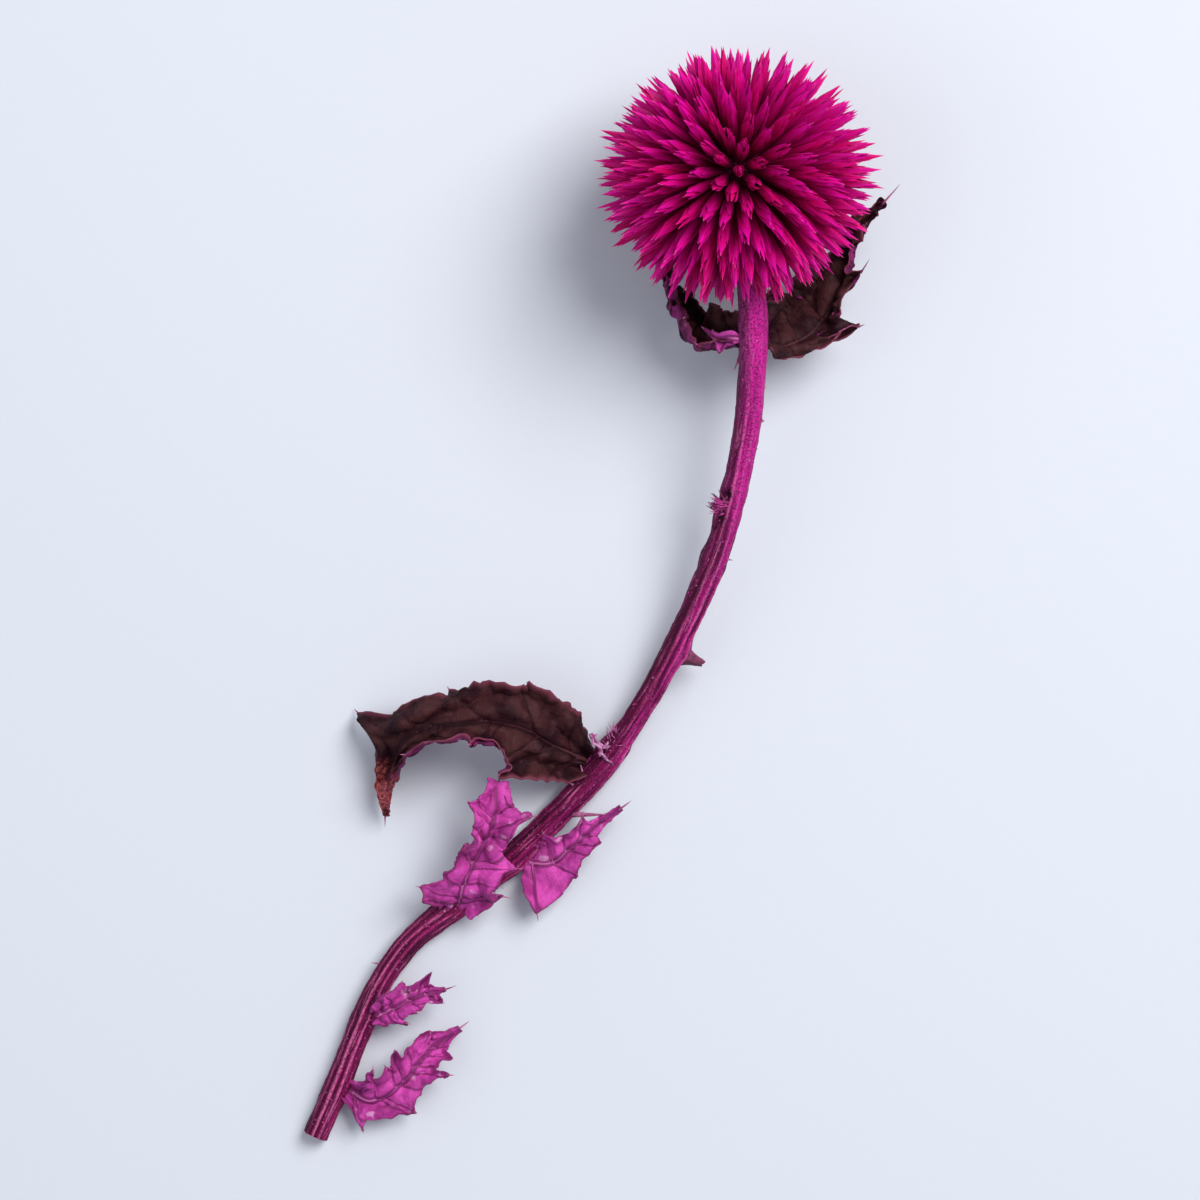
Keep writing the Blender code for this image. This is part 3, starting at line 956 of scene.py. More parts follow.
    def grow(
        self, thing: bpy.types.Object, tree: bpy.types.NodeTree, values: dict[str, Any]
    ) -> bpy.types.Object:
        """Puts a tree on an object with its inputs set, and makes the result the object's own mesh.

        Args:
            thing: The object that carries the sprouts or the surface.
            tree: The tree.
            values: The tree's inputs, by name.

        Returns:
            The same object.
        """
        modifier = thing.modifiers.new(tree.name, "NODES")
        modifier.node_group = tree
        for item in tree.interface.items_tree:
            if item.in_out == "INPUT" and item.name in values:
                modifier[item.identifier] = values[item.name]
        return bake(thing)


# ---------------------------------------------------------------- small shapes


@dataclass(frozen=True)
class Bract:
    """A keeled, pointed bract of a floret. Its length is 1 along Z, to be stretched to the floret's reach.

    The bundle radii are the distances of its back from the floret's axis, in metres.
    """

    name: str
    length: float
    foot_radius: float
    belly_radius: float
    tip_radius: float
    half_width: float
    keel: float
    layer: float

    SHARES = (0.0, 0.22, 0.46, 0.66, 0.78, 0.85, 0.93)
    WIDEST = 0.78

    def section(self, share: float) -> tuple[float, float, float]:
        """The radius of the back, half the width and the keel's height at a share of the length.

        Args:
            share: The share of the length.

        Returns:
            The radius, half the width and the keel's height.
        """
        before = min(1.0, share / self.WIDEST)
        beyond = max(0.0, share - self.WIDEST) / (1 - self.WIDEST)
        swelling = math.sin(math.pi * before / 2) ** 1.5
        radius = self.foot_radius + (self.belly_radius - self.foot_radius) * swelling
        radius += (self.tip_radius - self.belly_radius) * beyond**1.4
        widening = 0.25 + 0.75 * swelling
        narrowing = 1 - beyond
        return radius, self.half_width * widening * narrowing, self.keel * (0.3 + 0.7 * narrowing) * widening

    def make(self) -> bpy.types.Object:
        """The bract as an object: three-sided, closed, with the floret's share of length on its vertices."""
        vertices, along, places = [], [], []
        for share in self.SHARES:
            radius, half, keel = self.section(share)
            z = share * self.length
            vertices += [(-half, radius - keel, z), (half, radius - keel, z), (0, radius, z)]
            along += [share * (0.4 + 0.6 * self.length)] * 3
            places += [(-half, z * 0.018), (half, z * 0.018), (0, z * 0.018)]
        vertices.append((0, self.tip_radius, self.length))
        along.append(0.4 + 0.6 * self.length)
        places.append((0, self.length * 0.018))
        rings, last = len(self.SHARES), len(vertices) - 1
        faces = [(0, 2, 1)] + grid_faces(rings, 3, closed=True)
        faces += [(last - 3 + k, last - 3 + (k + 1) % 3, last) for k in range(3)]
        thing = mesh_object(self.name, vertices, faces)
        thing.data.set_sharp_from_angle(angle=math.radians(40))
        add_attribute(thing.data, "along", np.array(along))
        add_attribute(thing.data, "layer", np.full(len(along), self.layer))
        add_uv(thing.data, np.array(places))
        return thing


def make_thorn(name: str, sides: int = 5, bend: float = 0.25) -> bpy.types.Object:
    """A slender thorn or fibre along Z, one long and one wide at its foot, bent towards +Y at its tip.

    Args:
        name: The object's name.
        sides: How many sides it has.
        bend: How far its tip leans.

    Returns:
        The object.
    """
    shares = (0.0, 0.25, 0.55, 0.8)
    vertices = []
    for share in shares:
        radius = 0.5 * (1 - share) ** 0.8
        for k in range(sides):
            angle = math.tau * k / sides
            vertices.append((radius * math.cos(angle), radius * math.sin(angle) + bend * share**2, share))
    vertices.append((0, bend, 1.0))
    last = len(vertices) - 1
    faces = [tuple(reversed(range(sides)))] + grid_faces(len(shares), sides, closed=True)
    faces += [(last - sides + k, last - sides + (k + 1) % sides, last) for k in range(sides)]
    thing = mesh_object(name, vertices, faces)
    add_attribute(thing.data, "along", np.array([v[2] for v in vertices]))
    return thing


def make_flake(name: str) -> bpy.types.Object:
    """A tiny flat grain, one across, that lies on a surface.

    Args:
        name: The object's name.

    Returns:
        The object.
    """
    ring = [(0.5 * math.cos(math.tau * k / 5), 0.35 * math.sin(math.tau * k / 5), 0.0) for k in range(5)]
    vertices = [*ring, (0, 0, 0.3), (0, 0, -0.25)]
    faces = [(k, (k + 1) % 5, 5) for k in range(5)] + [((k + 1) % 5, k, 6) for k in range(5)]
    return mesh_object(name, vertices, faces)


# ---------------------------------------------------------------- the head


@dataclass
class Head:
    """The ball of florets: each spiral row is a piece that stands for the row's node."""

    radius: float = 25.6 * MM
    flattening: float = 0.08
    florets_on_full_ball: int = 340
    rows: int = 21
    crown_florets: int = 21
    last_tip_angle: float = math.radians(167)
    last_foot_angle: float = math.radians(150)
    foot_radius: float = RECEPTACLE_RADIUS + 0.1 * MM
    wander: float = math.radians(1.6)
    length_wander: float = 0.045
    seed: int = 7
    bracts: tuple[Bract, ...] = (
        Bract("inner_bract", 1.0, 0.30 * MM, 0.70 * MM, 0.30 * MM, 0.86 * MM, 0.56 * MM, 0.0),
        Bract("middle_bract", 0.93, 0.34 * MM, 0.96 * MM, 0.66 * MM, 1.02 * MM, 0.54 * MM, 0.6),
        Bract("outer_bract", 0.80, 0.38 * MM, 1.12 * MM, 1.04 * MM, 0.90 * MM, 0.50 * MM, 1.0),
    )
    copies: tuple[int, int, int] = (2, 3, 3)

    def turn(self) -> Quaternion:
        """The turn that takes the ball's +Z to the crown."""
        return Vector((0, 0, 1)).rotation_difference(-STEM_DIRECTION)

    def on_ball(self, angle: float, turn: float, radius: float) -> Vector:
        """A point in the frame at an angle from the crown and a turn round the head's axis.

        Args:
            angle: The angle from the crown.
            turn: The turn round the axis.
            radius: The distance from the head's middle.

        Returns:
            The point.
        """
        flat = math.sin(angle)
        local = Vector((flat * math.cos(turn), flat * math.sin(turn), math.cos(angle)))
        return HEAD_CENTRE + self.turn() @ local * radius

    def sprout(self, index: int, dice: random.Random) -> Sprout | None:
        """The floret at a place on the golden-angle lattice, or None where the stem is.

        Args:
            index: The floret's place on the lattice.
            dice: The source of its small differences.

        Returns:
            The floret, or None.
        """
        angle = math.acos(1 - (2 * index + 1) / self.florets_on_full_ball)
        if angle > self.last_tip_angle:
            return None
        turn = index * math.pi * (3 - math.sqrt(5))
        foot = self.on_ball(angle * self.last_foot_angle / self.last_tip_angle, turn, self.foot_radius)
        angle += dice.uniform(-self.wander, self.wander)
        turn += dice.uniform(-self.wander, self.wander) / max(0.3, math.sin(angle))
        radius = self.radius * (1 - self.flattening * math.cos(angle) ** 2)
        tip = self.on_ball(angle, turn, radius * (1 - self.length_wander * dice.random()))
        aim = tip - foot
        width = dice.uniform(0.9, 1.12)
        return Sprout(foot, aim.normalized(), aim.length, width, dice.uniform(0, math.tau), dice.random())

    def row_indices(self) -> dict[str, range]:
        """The florets of each node, by their place on the lattice."""
        nodes = {"floret_crown": range(self.crown_florets)}
        for row in range(self.rows):
            first = self.crown_florets + row
            nodes[f"floret_row_{row + 1:02d}"] = range(first, self.florets_on_full_ball, self.rows)
        return nodes

    def make(self, trees: GrowthTrees, material: bpy.types.Material) -> None:
        """Grows every row of florets.

        Args:
            trees: The node trees that grow them.
            material: The finish of the bracts.
        """
        shapes = [bract.make() for bract in self.bracts]
        dice = random.Random(self.seed)
        for number, (node, indices) in enumerate(self.row_indices().items()):
            sprouts = [s for s in (self.sprout(i, dice) for i in indices) if s is not None]
            points = sprout_points(node.replace("floret", "bracts"), sprouts)
            values = {
                "Turn Jitter": 0.22,
                "Lean Jitter": 0.014,
                "Length Jitter": 0.05,
                "Seed": 1000 + number,
                "Material": material,
            }
            for offset, label, shape, copies in zip(
                (0.0, 0.6, 0.2), ("Inner", "Middle", "Outer"), shapes, self.copies
            ):
                values |= {f"{label} Shape": shape, f"{label} Copies": copies, f"{label} Turn": offset}
            piece = trees.grow(points, trees.floret, values)
            belongs(piece, Slot.FLORET, node)
        for shape in shapes:
            bpy.data.objects.remove(shape)


# ---------------------------------------------------------------- the stem


@dataclass(frozen=True)
class Knot:
    """A swelling on the stem, or a hole in it where the rise is below 0.

    It has a height, a turn from the right-hand side, a rise, a length and a width, which is an angle.
    """

    height: float
    turn: float
    rise: float
    spread: float
    width: float = 0.75


@dataclass(frozen=True)
class Cuff:
    """A leaf scar that steps the stem outwards below it: its height, its turn, its rise and its tilt."""

    height: float
    turn: float
    rise: float
    tilt: float


@dataclass
class Stem:
    """The ridged stem with the receptacle at its top and a cut end, and what is left on it."""

    line: tuple[Point, ...] = (
        (2.9, -22.9, 21.0), (2.5, -38.5, 18.1), (0.6, -51.5, 15.2), (-2.6, -64.5, 12.0),
        (-6.8, -75.0, 9.2), (-12.3, -86.6, 6.3), (-18.4, -97.0, 4.0), (-25.8, -107.2, 2.6),
        (-34.4, -116.2, 2.3), (-42.6, -123.8, 2.3), (-51.5, -130.8, 2.4), (-59.3, -137.4, 2.6),
        (-65.0, -145.6, 2.7), (-69.2, -155.5, 2.5), (-72.8, -164.6, 2.2), (-76.2, -172.4, 2.1),
    )
    radii: tuple[float, ...] = (
        2.5, 2.45, 2.25, 2.15, 2.05, 2.05, 2.1, 2.25, 2.25, 2.25, 2.35, 2.1, 2.0, 2.0, 2.05, 2.1
    )
    sides: int = 66
    step: float = 0.6 * MM
    ridges: int = 11
    ridge_depth: float = 0.2
    knots: tuple[Knot, ...] = (
        Knot(-26.8, 160, 0.25, 3.2), Knot(-30.0, 330, 0.12, 2.6), Knot(-55.5, 150, 0.5, 2.0),
        Knot(-60.5, 170, 0.4, 1.6), Knot(-55.9, 124, -1.0, 1.05, 0.42),
        Knot(-60.6, 130, -0.9, 1.2, 0.36), Knot(-62.0, 150, -0.7, 0.7, 0.28),
        Knot(-67.5, 185, 0.5, 2.2), Knot(-83.8, 350, 0.7, 2.2), Knot(-103.0, 170, 0.4, 3.0),
        Knot(-122.0, 20, 0.5, 2.6), Knot(-130.5, 60, 0.6, 3.0), Knot(-150.5, 20, 0.5, 2.4),
        Knot(-163.5, 0, 0.5, 2.4),
    )
    cuffs: tuple[Cuff, ...] = (
        Cuff(-70.0, 120, 0.24, 2.4), Cuff(-101.5, 100, 0.34, 2.8), Cuff(-152.0, 60, 0.22, 2.0),
    )
    curve: np.ndarray = field(init=False)

    def __post_init__(self) -> None:
        """Works out the centre line and the radius, from the neck under the receptacle to the cut."""
        neck = HEAD_CENTRE + STEM_DIRECTION * (RECEPTACLE_RADIUS + NECK_LENGTH)
        rest = [(*(DESIGN_POINT + Vector(p) * MM), r * MM) for p, r in zip(self.line, self.radii)]
        self.curve = curve_through([(*neck, self.radii[0] * MM), *rest])

    def nearest(self, height: float) -> int:
        """The sample of the centre line at a height, given in millimetres from the head's middle."""
        return int(np.argmin(np.abs(self.curve[:, 1] - DESIGN_POINT.y - height * MM)))

    def beside(self, height: float, turn: float, gap: float = 0.0) -> tuple[Vector, Vector]:
        """A place on the stem's side and the direction straight out of it.

        Args:
            height: Its height in millimetres from the head's middle.
            turn: Its turn in degrees: 0 is the right side seen from above, 90 the top.
            gap: How far it stands off the surface, in metres.

        Returns:
            The place and the outward direction.
        """
        index = self.nearest(height)
        along = Vector(self.curve[index + 1, :3] - self.curve[index - 1, :3]).normalized()
        right = Vector((0, 0, 1)).cross(along).normalized()
        angle = math.radians(turn)
        outwards = right * math.cos(angle) + along.cross(right) * math.sin(angle)
        return Vector(self.curve[index, :3]) + outwards * (self.curve[index, 3] + gap), outwards

    def rings(self) -> tuple[np.ndarray, np.ndarray]:
        """The centres and radii of the rings: the receptacle's ball first, and then the stem."""
        polar = np.radians(np.arange(6, 151, 6))
        ball = np.array(HEAD_CENTRE)[None] - np.outer(np.cos(polar), STEM_DIRECTION) * RECEPTACLE_RADIUS
        steps = round(lengths_along(self.curve)[-1] / self.step)
        shaft = sample_curve(self.curve, np.linspace(0, 1, steps + 1))
        centres = np.vstack([ball, shaft[:, :3]])
        radii = np.concatenate([RECEPTACLE_RADIUS * np.sin(polar), shaft[:, 3]])
        return centres, radii

    def surface(self) -> dict[str, np.ndarray]:
        """The grid of the skin, with how much each vertex is on a ridge and where it is on the surface."""
        centres, radii = self.rings()
        tangents = unit(np.gradient(centres, axis=0))
        right = unit(np.cross(np.array([0.0, 0.0, 1.0]), tangents))
        up = np.cross(tangents, right)
        angles = np.linspace(0, math.tau, self.sides, endpoint=False) - math.pi / 2
        along = lengths_along(centres)
        neck = along[np.argmax(centres @ np.array(STEM_DIRECTION) > centres[24] @ np.array(STEM_DIRECTION))]
        ribbed = np.clip(0.22 + (along - neck - 24 * MM) / (50 * MM), 0.22, 1)
        ribbed = (ribbed * np.clip((along - neck) / (5 * MM), 0, 1))[:, None]
        twist = 0.5 * np.sin(along / (33 * MM)) + 0.25 * np.sin(along / (13 * MM) + 1)
        turned = angles[None] + 0.12 * twist[:, None]
        phase = self.ridges * turned + 0.9 * np.sin(2 * turned + 1) + 0.5 * np.sin(5 * turned)
        strength = 0.66 + 0.34 * np.sin(3 * turned + along[:, None] / (21 * MM) + 1.4 * np.sin(2 * turned))
        ridge = (0.5 + 0.5 * np.cos(phase)) ** 1.3 * strength
        fine = (0.5 + 0.5 * np.cos(2.6 * phase + 2.0)) * (1 - ridge)
        ridge = np.clip(ridge + 0.3 * fine, 0, 1)
        offset = radii[:, None] * (1 - self.ridge_depth * 0.5 * ribbed + self.ridge_depth * ribbed * ridge)
        for cuff in self.cuffs:
            index = int(np.argmin(np.abs(centres[:, 1] - DESIGN_POINT.y - cuff.height * MM)))
            sag = cuff.tilt * np.cos(angles - math.radians(cuff.turn)) + 0.35 * np.sin(
                7 * angles + cuff.height
            )
            below = (along[:, None] - along[index]) / MM - sag[None]
            step = 1 / (1 + np.exp(-below / 0.16)) * np.exp(-np.maximum(below, 0) / 16)
            offset += cuff.rise * MM * step
        pit = np.zeros_like(offset)
        for knot in self.knots:
            index = int(np.argmin(np.abs(centres[:, 1] - DESIGN_POINT.y - knot.height * MM)))
            far = ((along - along[index]) / (knot.spread * MM))[:, None]
            round_it = np.angle(np.exp(1j * (angles - math.radians(knot.turn))))[None]
            bump = np.exp(-(far**2) - (round_it / knot.width) ** 2)
            offset += knot.rise * MM * bump
            if knot.rise > 0:
                offset += 0.25 * knot.rise * MM * np.exp(-((far / 1.3) ** 2))
            else:
                pit = np.maximum(pit, np.clip(bump * 2.4 - 0.7, 0, 1))
        cos, sin = np.cos(angles)[None, :, None], np.sin(angles)[None, :, None]
        grid = centres[:, None] + (right[:, None] * cos + up[:, None] * sin) * offset[..., None]
        places = np.stack(
            [
                np.broadcast_to((angles[None] + math.pi / 2) * radii.mean(), ridge.shape),
                np.broadcast_to(along[:, None], ridge.shape),
            ],
            axis=-1,
        )
        # Painted shade on the stem's left side and painted light on its right side, as the light falls from
        # the right.
        dull = np.clip(np.cos(angles - math.radians(172)), 0, 1)[None] * np.ones_like(ridge)
        bright = np.clip(np.cos(angles - math.radians(25)), 0, 1)[None] * np.ones_like(ridge)
        marks = {"ridge": ridge, "pit": pit, "dull": dull, "bright": bright}
        return {
            "grid": grid,
            "marks": marks,
            "along": along / along[-1],
            "places": places,
            "centres": centres,
        }

    def make(self, material: bpy.types.Material, cut: bpy.types.Material) -> bpy.types.Object:
        """The stem's skin, closed at the crown's side of the receptacle and by the cut face.

        Args:
            material: The finish of the skin.
            cut: The finish of the cut face.

        Returns:
            The object.
        """
        made = self.surface()
        grid, centres = made["grid"], made["centres"]
        rows, sides = grid.shape[:2]
        for row in range(rows):
            for column in range(sides):
                place = Vector(grid[row, column])
                rough = noise.noise(place * 260) * 0.12 + noise.noise(place * 640) * 0.10
                rough += noise.noise(place * 1500) * 0.05
                grid[row, column] += unit(grid[row, column] - centres[row]) * rough * MM
        vertices = grid.reshape(-1, 3).tolist()
        faces = grid_faces(rows, sides, closed=True)
        pole = HEAD_CENTRE - STEM_DIRECTION * RECEPTACLE_RADIUS
        end, face_rings = self.cut_face(grid[-1], centres[-1], centres[-1] - centres[-2])
        first_cut = len(vertices)
        vertices += [tuple(v) for ring in face_rings for v in ring]
        vertices += [tuple(pole), tuple(end)]
        last_ring = (rows - 1) * sides
        cut_start = len(faces)
        for ring in range(len(face_rings)):
            near = last_ring if ring == 0 else first_cut + (ring - 1) * sides
            far = first_cut + ring * sides
            for k in range(sides):
                following = (k + 1) % sides
                faces.append((near + k, near + following, far + following, far + k))
        inner = first_cut + (len(face_rings) - 1) * sides
        faces += [(inner + k, inner + (k + 1) % sides, len(vertices) - 1) for k in range(sides)]
        cut_end = len(faces)
        faces += [((k + 1) % sides, k, len(vertices) - 2) for k in range(sides)]
        stem = mesh_object("stem_skin", vertices, faces, material)
        stem.data.materials.append(cut)
        slots = np.zeros(len(faces), np.int32)
        slots[cut_start:cut_end] = 1
        stem.data.polygons.foreach_set("material_index", slots)
        extra = len(vertices) - rows * sides
        for mark, at_ends in (("ridge", 0.6), ("pit", 0.0), ("dull", 0.0), ("bright", 0.0)):
            add_attribute(
                stem.data, mark, np.concatenate([made["marks"][mark].ravel(), np.full(extra, at_ends)])
            )
        along = np.repeat(made["along"], sides)
        add_attribute(stem.data, "along", np.concatenate([along, np.full(extra, 1.0)]))
        places = np.vstack([made["places"].reshape(-1, 2), np.zeros((extra, 2))])
        add_uv(stem.data, places)
        return stem

    def cut_face(
        self, rim: np.ndarray, centre: np.ndarray, onward: np.ndarray
    ) -> tuple[np.ndarray, list[np.ndarray]]:
        """The rings of the cut end: a ragged woody rim round a sunken pith, and the middle of it.

        Args:
            rim: The skin's last ring.
            centre: Its centre.
            onward: The direction of the stem there.

        Returns:
            The middle of the face and its rings.
        """
        onward = unit(onward)
        dice = np.random.default_rng(5)
        rings = []
        for share, depth in ((0.93, 0.12), (0.78, 0.05), (0.62, -0.15), (0.4, -0.5), (0.2, -0.65)):
            ragged = dice.uniform(-0.1, 0.1, len(rim))[:, None] * (0.3 + share)
            rings.append(centre + (rim - centre) * share + onward * (depth + ragged) * MM)
        return centre - onward * 0.7 * MM, rings


# ---------------------------------------------------------------- the leaves


@dataclass(frozen=True)
class Lobe:
    """A pointed lobe on a leaf's margin, in millimetres but for its place, which is a share of the midrib."""

    at: float
    reach: float
    spread: float
    forward: float = 1.5
    lift: float = 0.0


def spiny_margin(count: int, reach: float, seed: int, forward: float = 2.0) -> tuple[Lobe, ...]:
    """Lobes along a whole margin, large and small in turn.

    Args:
        count: How many there are.
        reach: How far a large one stands out, in millimetres.
        seed: The seed of their small differences.
        forward: How far their points lean towards the leaf's tip, in millimetres.

    Returns:
        The lobes.
    """
    dice = random.Random(seed)
    lobes = []
    for number in range(count):
        at = 0.08 + 0.84 * (number + dice.uniform(0.25, 0.75)) / count
        size = dice.uniform(0.75, 1.15) if number % 2 == 0 else dice.uniform(0.25, 0.55)
        lean = forward * dice.uniform(0.6, 1.3) * size
        lobes.append(
            Lobe(at, reach * size, reach * dice.uniform(0.45, 0.65), lean, dice.uniform(-1.0, 1.8) * size)
        )
    return tuple(lobes)


@dataclass
class Leaf:
    """A dry leaf: a thin closed blade with pointed lobes, veins, crumples and spines.

    Seen on its upper face from its base, side 0 of the blade is on the left of its midrib and side 1 on the
    right.
    """

    name: str
    node: str
    slot: Slot
    joins: tuple[float, float]
    midrib: tuple[Point, ...]
    faces: tuple[Point, ...]
    width: float
    curl: tuple[float, float]
    lobes: tuple[tuple[Lobe, ...], tuple[Lobe, ...]]
    wave: float = 0.12
    pleats: float = 0.5
    puff: float = 0.4
    withered: float = 0.0
    rib: tuple[float, float] = (-0.10, 0.34)
    ribs: int = 5
    sides: tuple[float, float] = (1.0, 1.0)
    roll_to_tip: float = 0.0
    body: tuple[float, ...] = (0.45, 0.85, 1.0, 0.95, 0.75, 0.45, 0.06)
    seed: int = 1
    crumple: float = 1.0
    sunk: float = 0.3
    thickness: float = 0.24 * MM
    cells_along: int = 150
    cells_across: int = 46
    spine: float = 2.0 * MM
    tips: list[Sprout] = field(default_factory=list)

    def margin(self, along: np.ndarray, side: int) -> tuple[np.ndarray, np.ndarray, np.ndarray]:
        """One margin: half the width, how far it leans to the tip and how far it stands up.

        Args:
            along: The distances along the midrib.
            side: The side.

        Returns:
            The three, in metres, at each distance.
        """
        shares = along / along[-1]
        knots = np.column_stack([np.linspace(0, 1, len(self.body)), self.body])
        outline = curve_through(knots, 12)
        half = np.interp(shares, outline[:, 0], outline[:, 1]) * self.width / 2 * MM * self.sides[side]
        forward, lift = np.zeros_like(half), np.zeros_like(half)
        teeth = np.abs((along / (1.9 * MM) + 0.3 * side) % 1.0 - 0.7) / 0.7
        reach = np.zeros_like(half)
        for lobe in self.lobes[side]:
            away = (along - lobe.at * along[-1]) / (lobe.spread * MM)
            profile = np.clip(np.minimum(1 + away / 1.25, 1 - away / 0.75), 0, 1) ** 1.35
            reach = np.maximum(reach, lobe.reach * MM * profile)
            forward = np.maximum(forward, lobe.forward * MM * profile)
            lift = lift + lobe.lift * MM * profile
        half = half * (0.96 + 0.06 * teeth) + reach
        return np.maximum(half, 0.12 * MM), forward, lift

    def frame_along(self, stem: Stem) -> dict[str, np.ndarray]:
        """The midrib's places, its tangents and the directions to the left and straight up from it.

        Args:
            stem: The stem that the leaf grows on.

        Returns:
            The arrays, by what they hold.
        """
        shares = np.linspace(0, 1, self.cells_along + 1)
        base, _ = stem.beside(*self.joins, gap=-self.sunk * MM)
        route = curve_through([base, *(DESIGN_POINT + Vector(p) * MM for p in self.midrib)])
        centres = sample_curve(route, shares)
        tangents = unit(np.gradient(centres, axis=0))
        looks = unit(curve_through([Vector(f).normalized() for f in self.faces]))
        place = np.linspace(0, 1, len(looks))
        face = np.column_stack([np.interp(shares, place, column) for column in looks.T])
        face = unit(face - tangents * np.sum(face * tangents, axis=1, keepdims=True))
        left = np.cross(face, tangents)
        return {"centres": centres, "tangents": tangents, "face": face, "left": left, "shares": shares}

    def blade(self, stem: Stem) -> dict[str, np.ndarray]:
        """The middle surface of the blade as a grid, with its veins, its margin and its normals.

        Args:
            stem: The stem that the leaf grows on.

        Returns:
            The arrays, by what they hold.
        """
        route = self.frame_along(stem)
        shares, centres, face = route["shares"], route["centres"], route["face"]
        across = np.linspace(-1, 1, self.cells_across + 1)
        across = np.sign(across) * np.abs(across) ** 0.85
        grid = np.empty((len(shares), len(across), 3))
        vein, dent = np.zeros(grid.shape[:2]), np.zeros(grid.shape[:2])
        along = lengths_along(centres)
        for side in (0, 1):
            half, forward, lift = self.margin(along, side)
            columns = np.where(across > 0 if side == 0 else across <= 0)[0]
            s = np.abs(across[columns])[None]
            roll = 1 + self.roll_to_tip * (2 * shares - 1) + 0.25 * np.sin(9 * shares + self.seed + side)
            curl = self.curl[side] * roll[:, None]
            sideways = half[:, None] * np.sin(curl * s) / curl * np.sign(0.5 - side)
            up = half[:, None] * (1 - np.cos(curl * s)) / curl + lift[:, None] * s**2.5
            ripple = np.sin(along / (1.7 * MM) + side * 2) + 0.6 * np.sin(along / (0.83 * MM) + self.seed)
            up = up + self.wave * (half * ripple)[:, None] * s**2
            up = up + self.pleated(shares[:, None], s, side) * np.clip(half / (2.5 * MM), 0, 1)[:, None]
            spot = (
                centres[:, None]
                + route["left"][:, None] * sideways[..., None]
                + face[:, None] * up[..., None]
            )
            grid[:, columns] = spot + route["tangents"][:, None] * (forward[:, None] * s**1.6)[..., None]
            starts = [lobe.at for lobe in self.lobes[side] if lobe.reach > 1.0]
            starts += list(np.linspace(0.14, 0.84, self.ribs) + 0.03 * side)
            for start in starts:
                centre_line = start - 0.10 * (1 - s**0.8)
                far = np.abs(shares[:, None] - centre_line) * along[-1] / (0.26 * MM)
                vein[:, columns] = np.maximum(vein[:, columns], np.exp(-(far**2)) * (1 - 0.55 * s))
                dent[:, columns] = np.maximum(dent[:, columns], np.exp(-((far / 3.2) ** 2)) * (1 - 0.5 * s))
            middle = half[:, None] * s / (0.60 * MM)
            vein[:, columns] = np.maximum(
                vein[:, columns], np.exp(-(middle**2)) * (1 - 0.4 * shares[:, None])
            )
        edge = np.clip((np.abs(across) - 0.9) / 0.1, 0, 1)[None] * np.ones_like(vein)
        normals = self.normals(grid, face)
        free = np.clip(shares / 0.12, 0, 1)[:, None] * (0.3 + 0.7 * np.abs(across)[None])
        for row in range(grid.shape[0]):
            for column in range(grid.shape[1]):
                move = self.crumpled(Vector(grid[row, column]), vein[row, column]) * free[row, column]
                grid[row, column] += normals[row, column] * (move - self.puff * MM * dent[row, column])
        return {"grid": grid, "vein": vein, "edge": edge, "normals": self.normals(grid, face)}

    def pleated(self, shares: np.ndarray, across: np.ndarray, side: int) -> np.ndarray:
        """How far one half of the blade stands up in long folds that run beside the midrib, in metres.

        Args:
            shares: The shares of the length.
            across: The distances from the midrib, from 0 to 1.
            side: The side of the blade.

        Returns:
            The heights.
        """
        drift = 0.30 * np.sin(5 * shares + self.seed) + 0.16 * np.sin(12 * shares + 2 * self.seed + side)
        wave = np.sin(math.tau * (1.25 * across + drift + 0.4 * side))
        crisp = np.arcsin(wave) * 2 / math.pi
        return self.pleats * MM * (0.4 * wave + 0.6 * crisp) * np.minimum(1, 3 * across)

    def crumpled(self, place: Vector, vein: float) -> float:
        """How far a place is pushed out by the folds that drying left.

        Args:
            place: The place.
            vein: How much of a vein is there.

        Returns:
            The distance, in metres.
        """
        drift = Vector((self.seed * 3.7, self.seed * 1.3, 0))
        fold = noise.noise(place * 130 + drift) * 1.5
        crease = 0.45 - abs(noise.noise(place * 210 + drift))
        fine = 0.3 - abs(noise.noise(place * 560 + drift))
        grain = noise.noise(place * 1200 + drift) * (1 - vein)
        return (fold + crease * 1.6 + fine * 0.6 + grain * 0.12) * self.crumple * MM

    def normals(self, grid: np.ndarray, face: np.ndarray) -> np.ndarray:
        """The unit normals of the grid, on the side that the blade's upper face looks to.

        Args:
            grid: The grid of places.
            face: The way that the upper face looks, for each row.

        Returns:
            The normals.
        """
        cross = unit(np.cross(np.gradient(grid, axis=0), np.gradient(grid, axis=1)))
        flip = np.sign(np.sum(cross * face[:, None], axis=(1, 2)).sum())
        return cross * (flip if flip else 1.0)

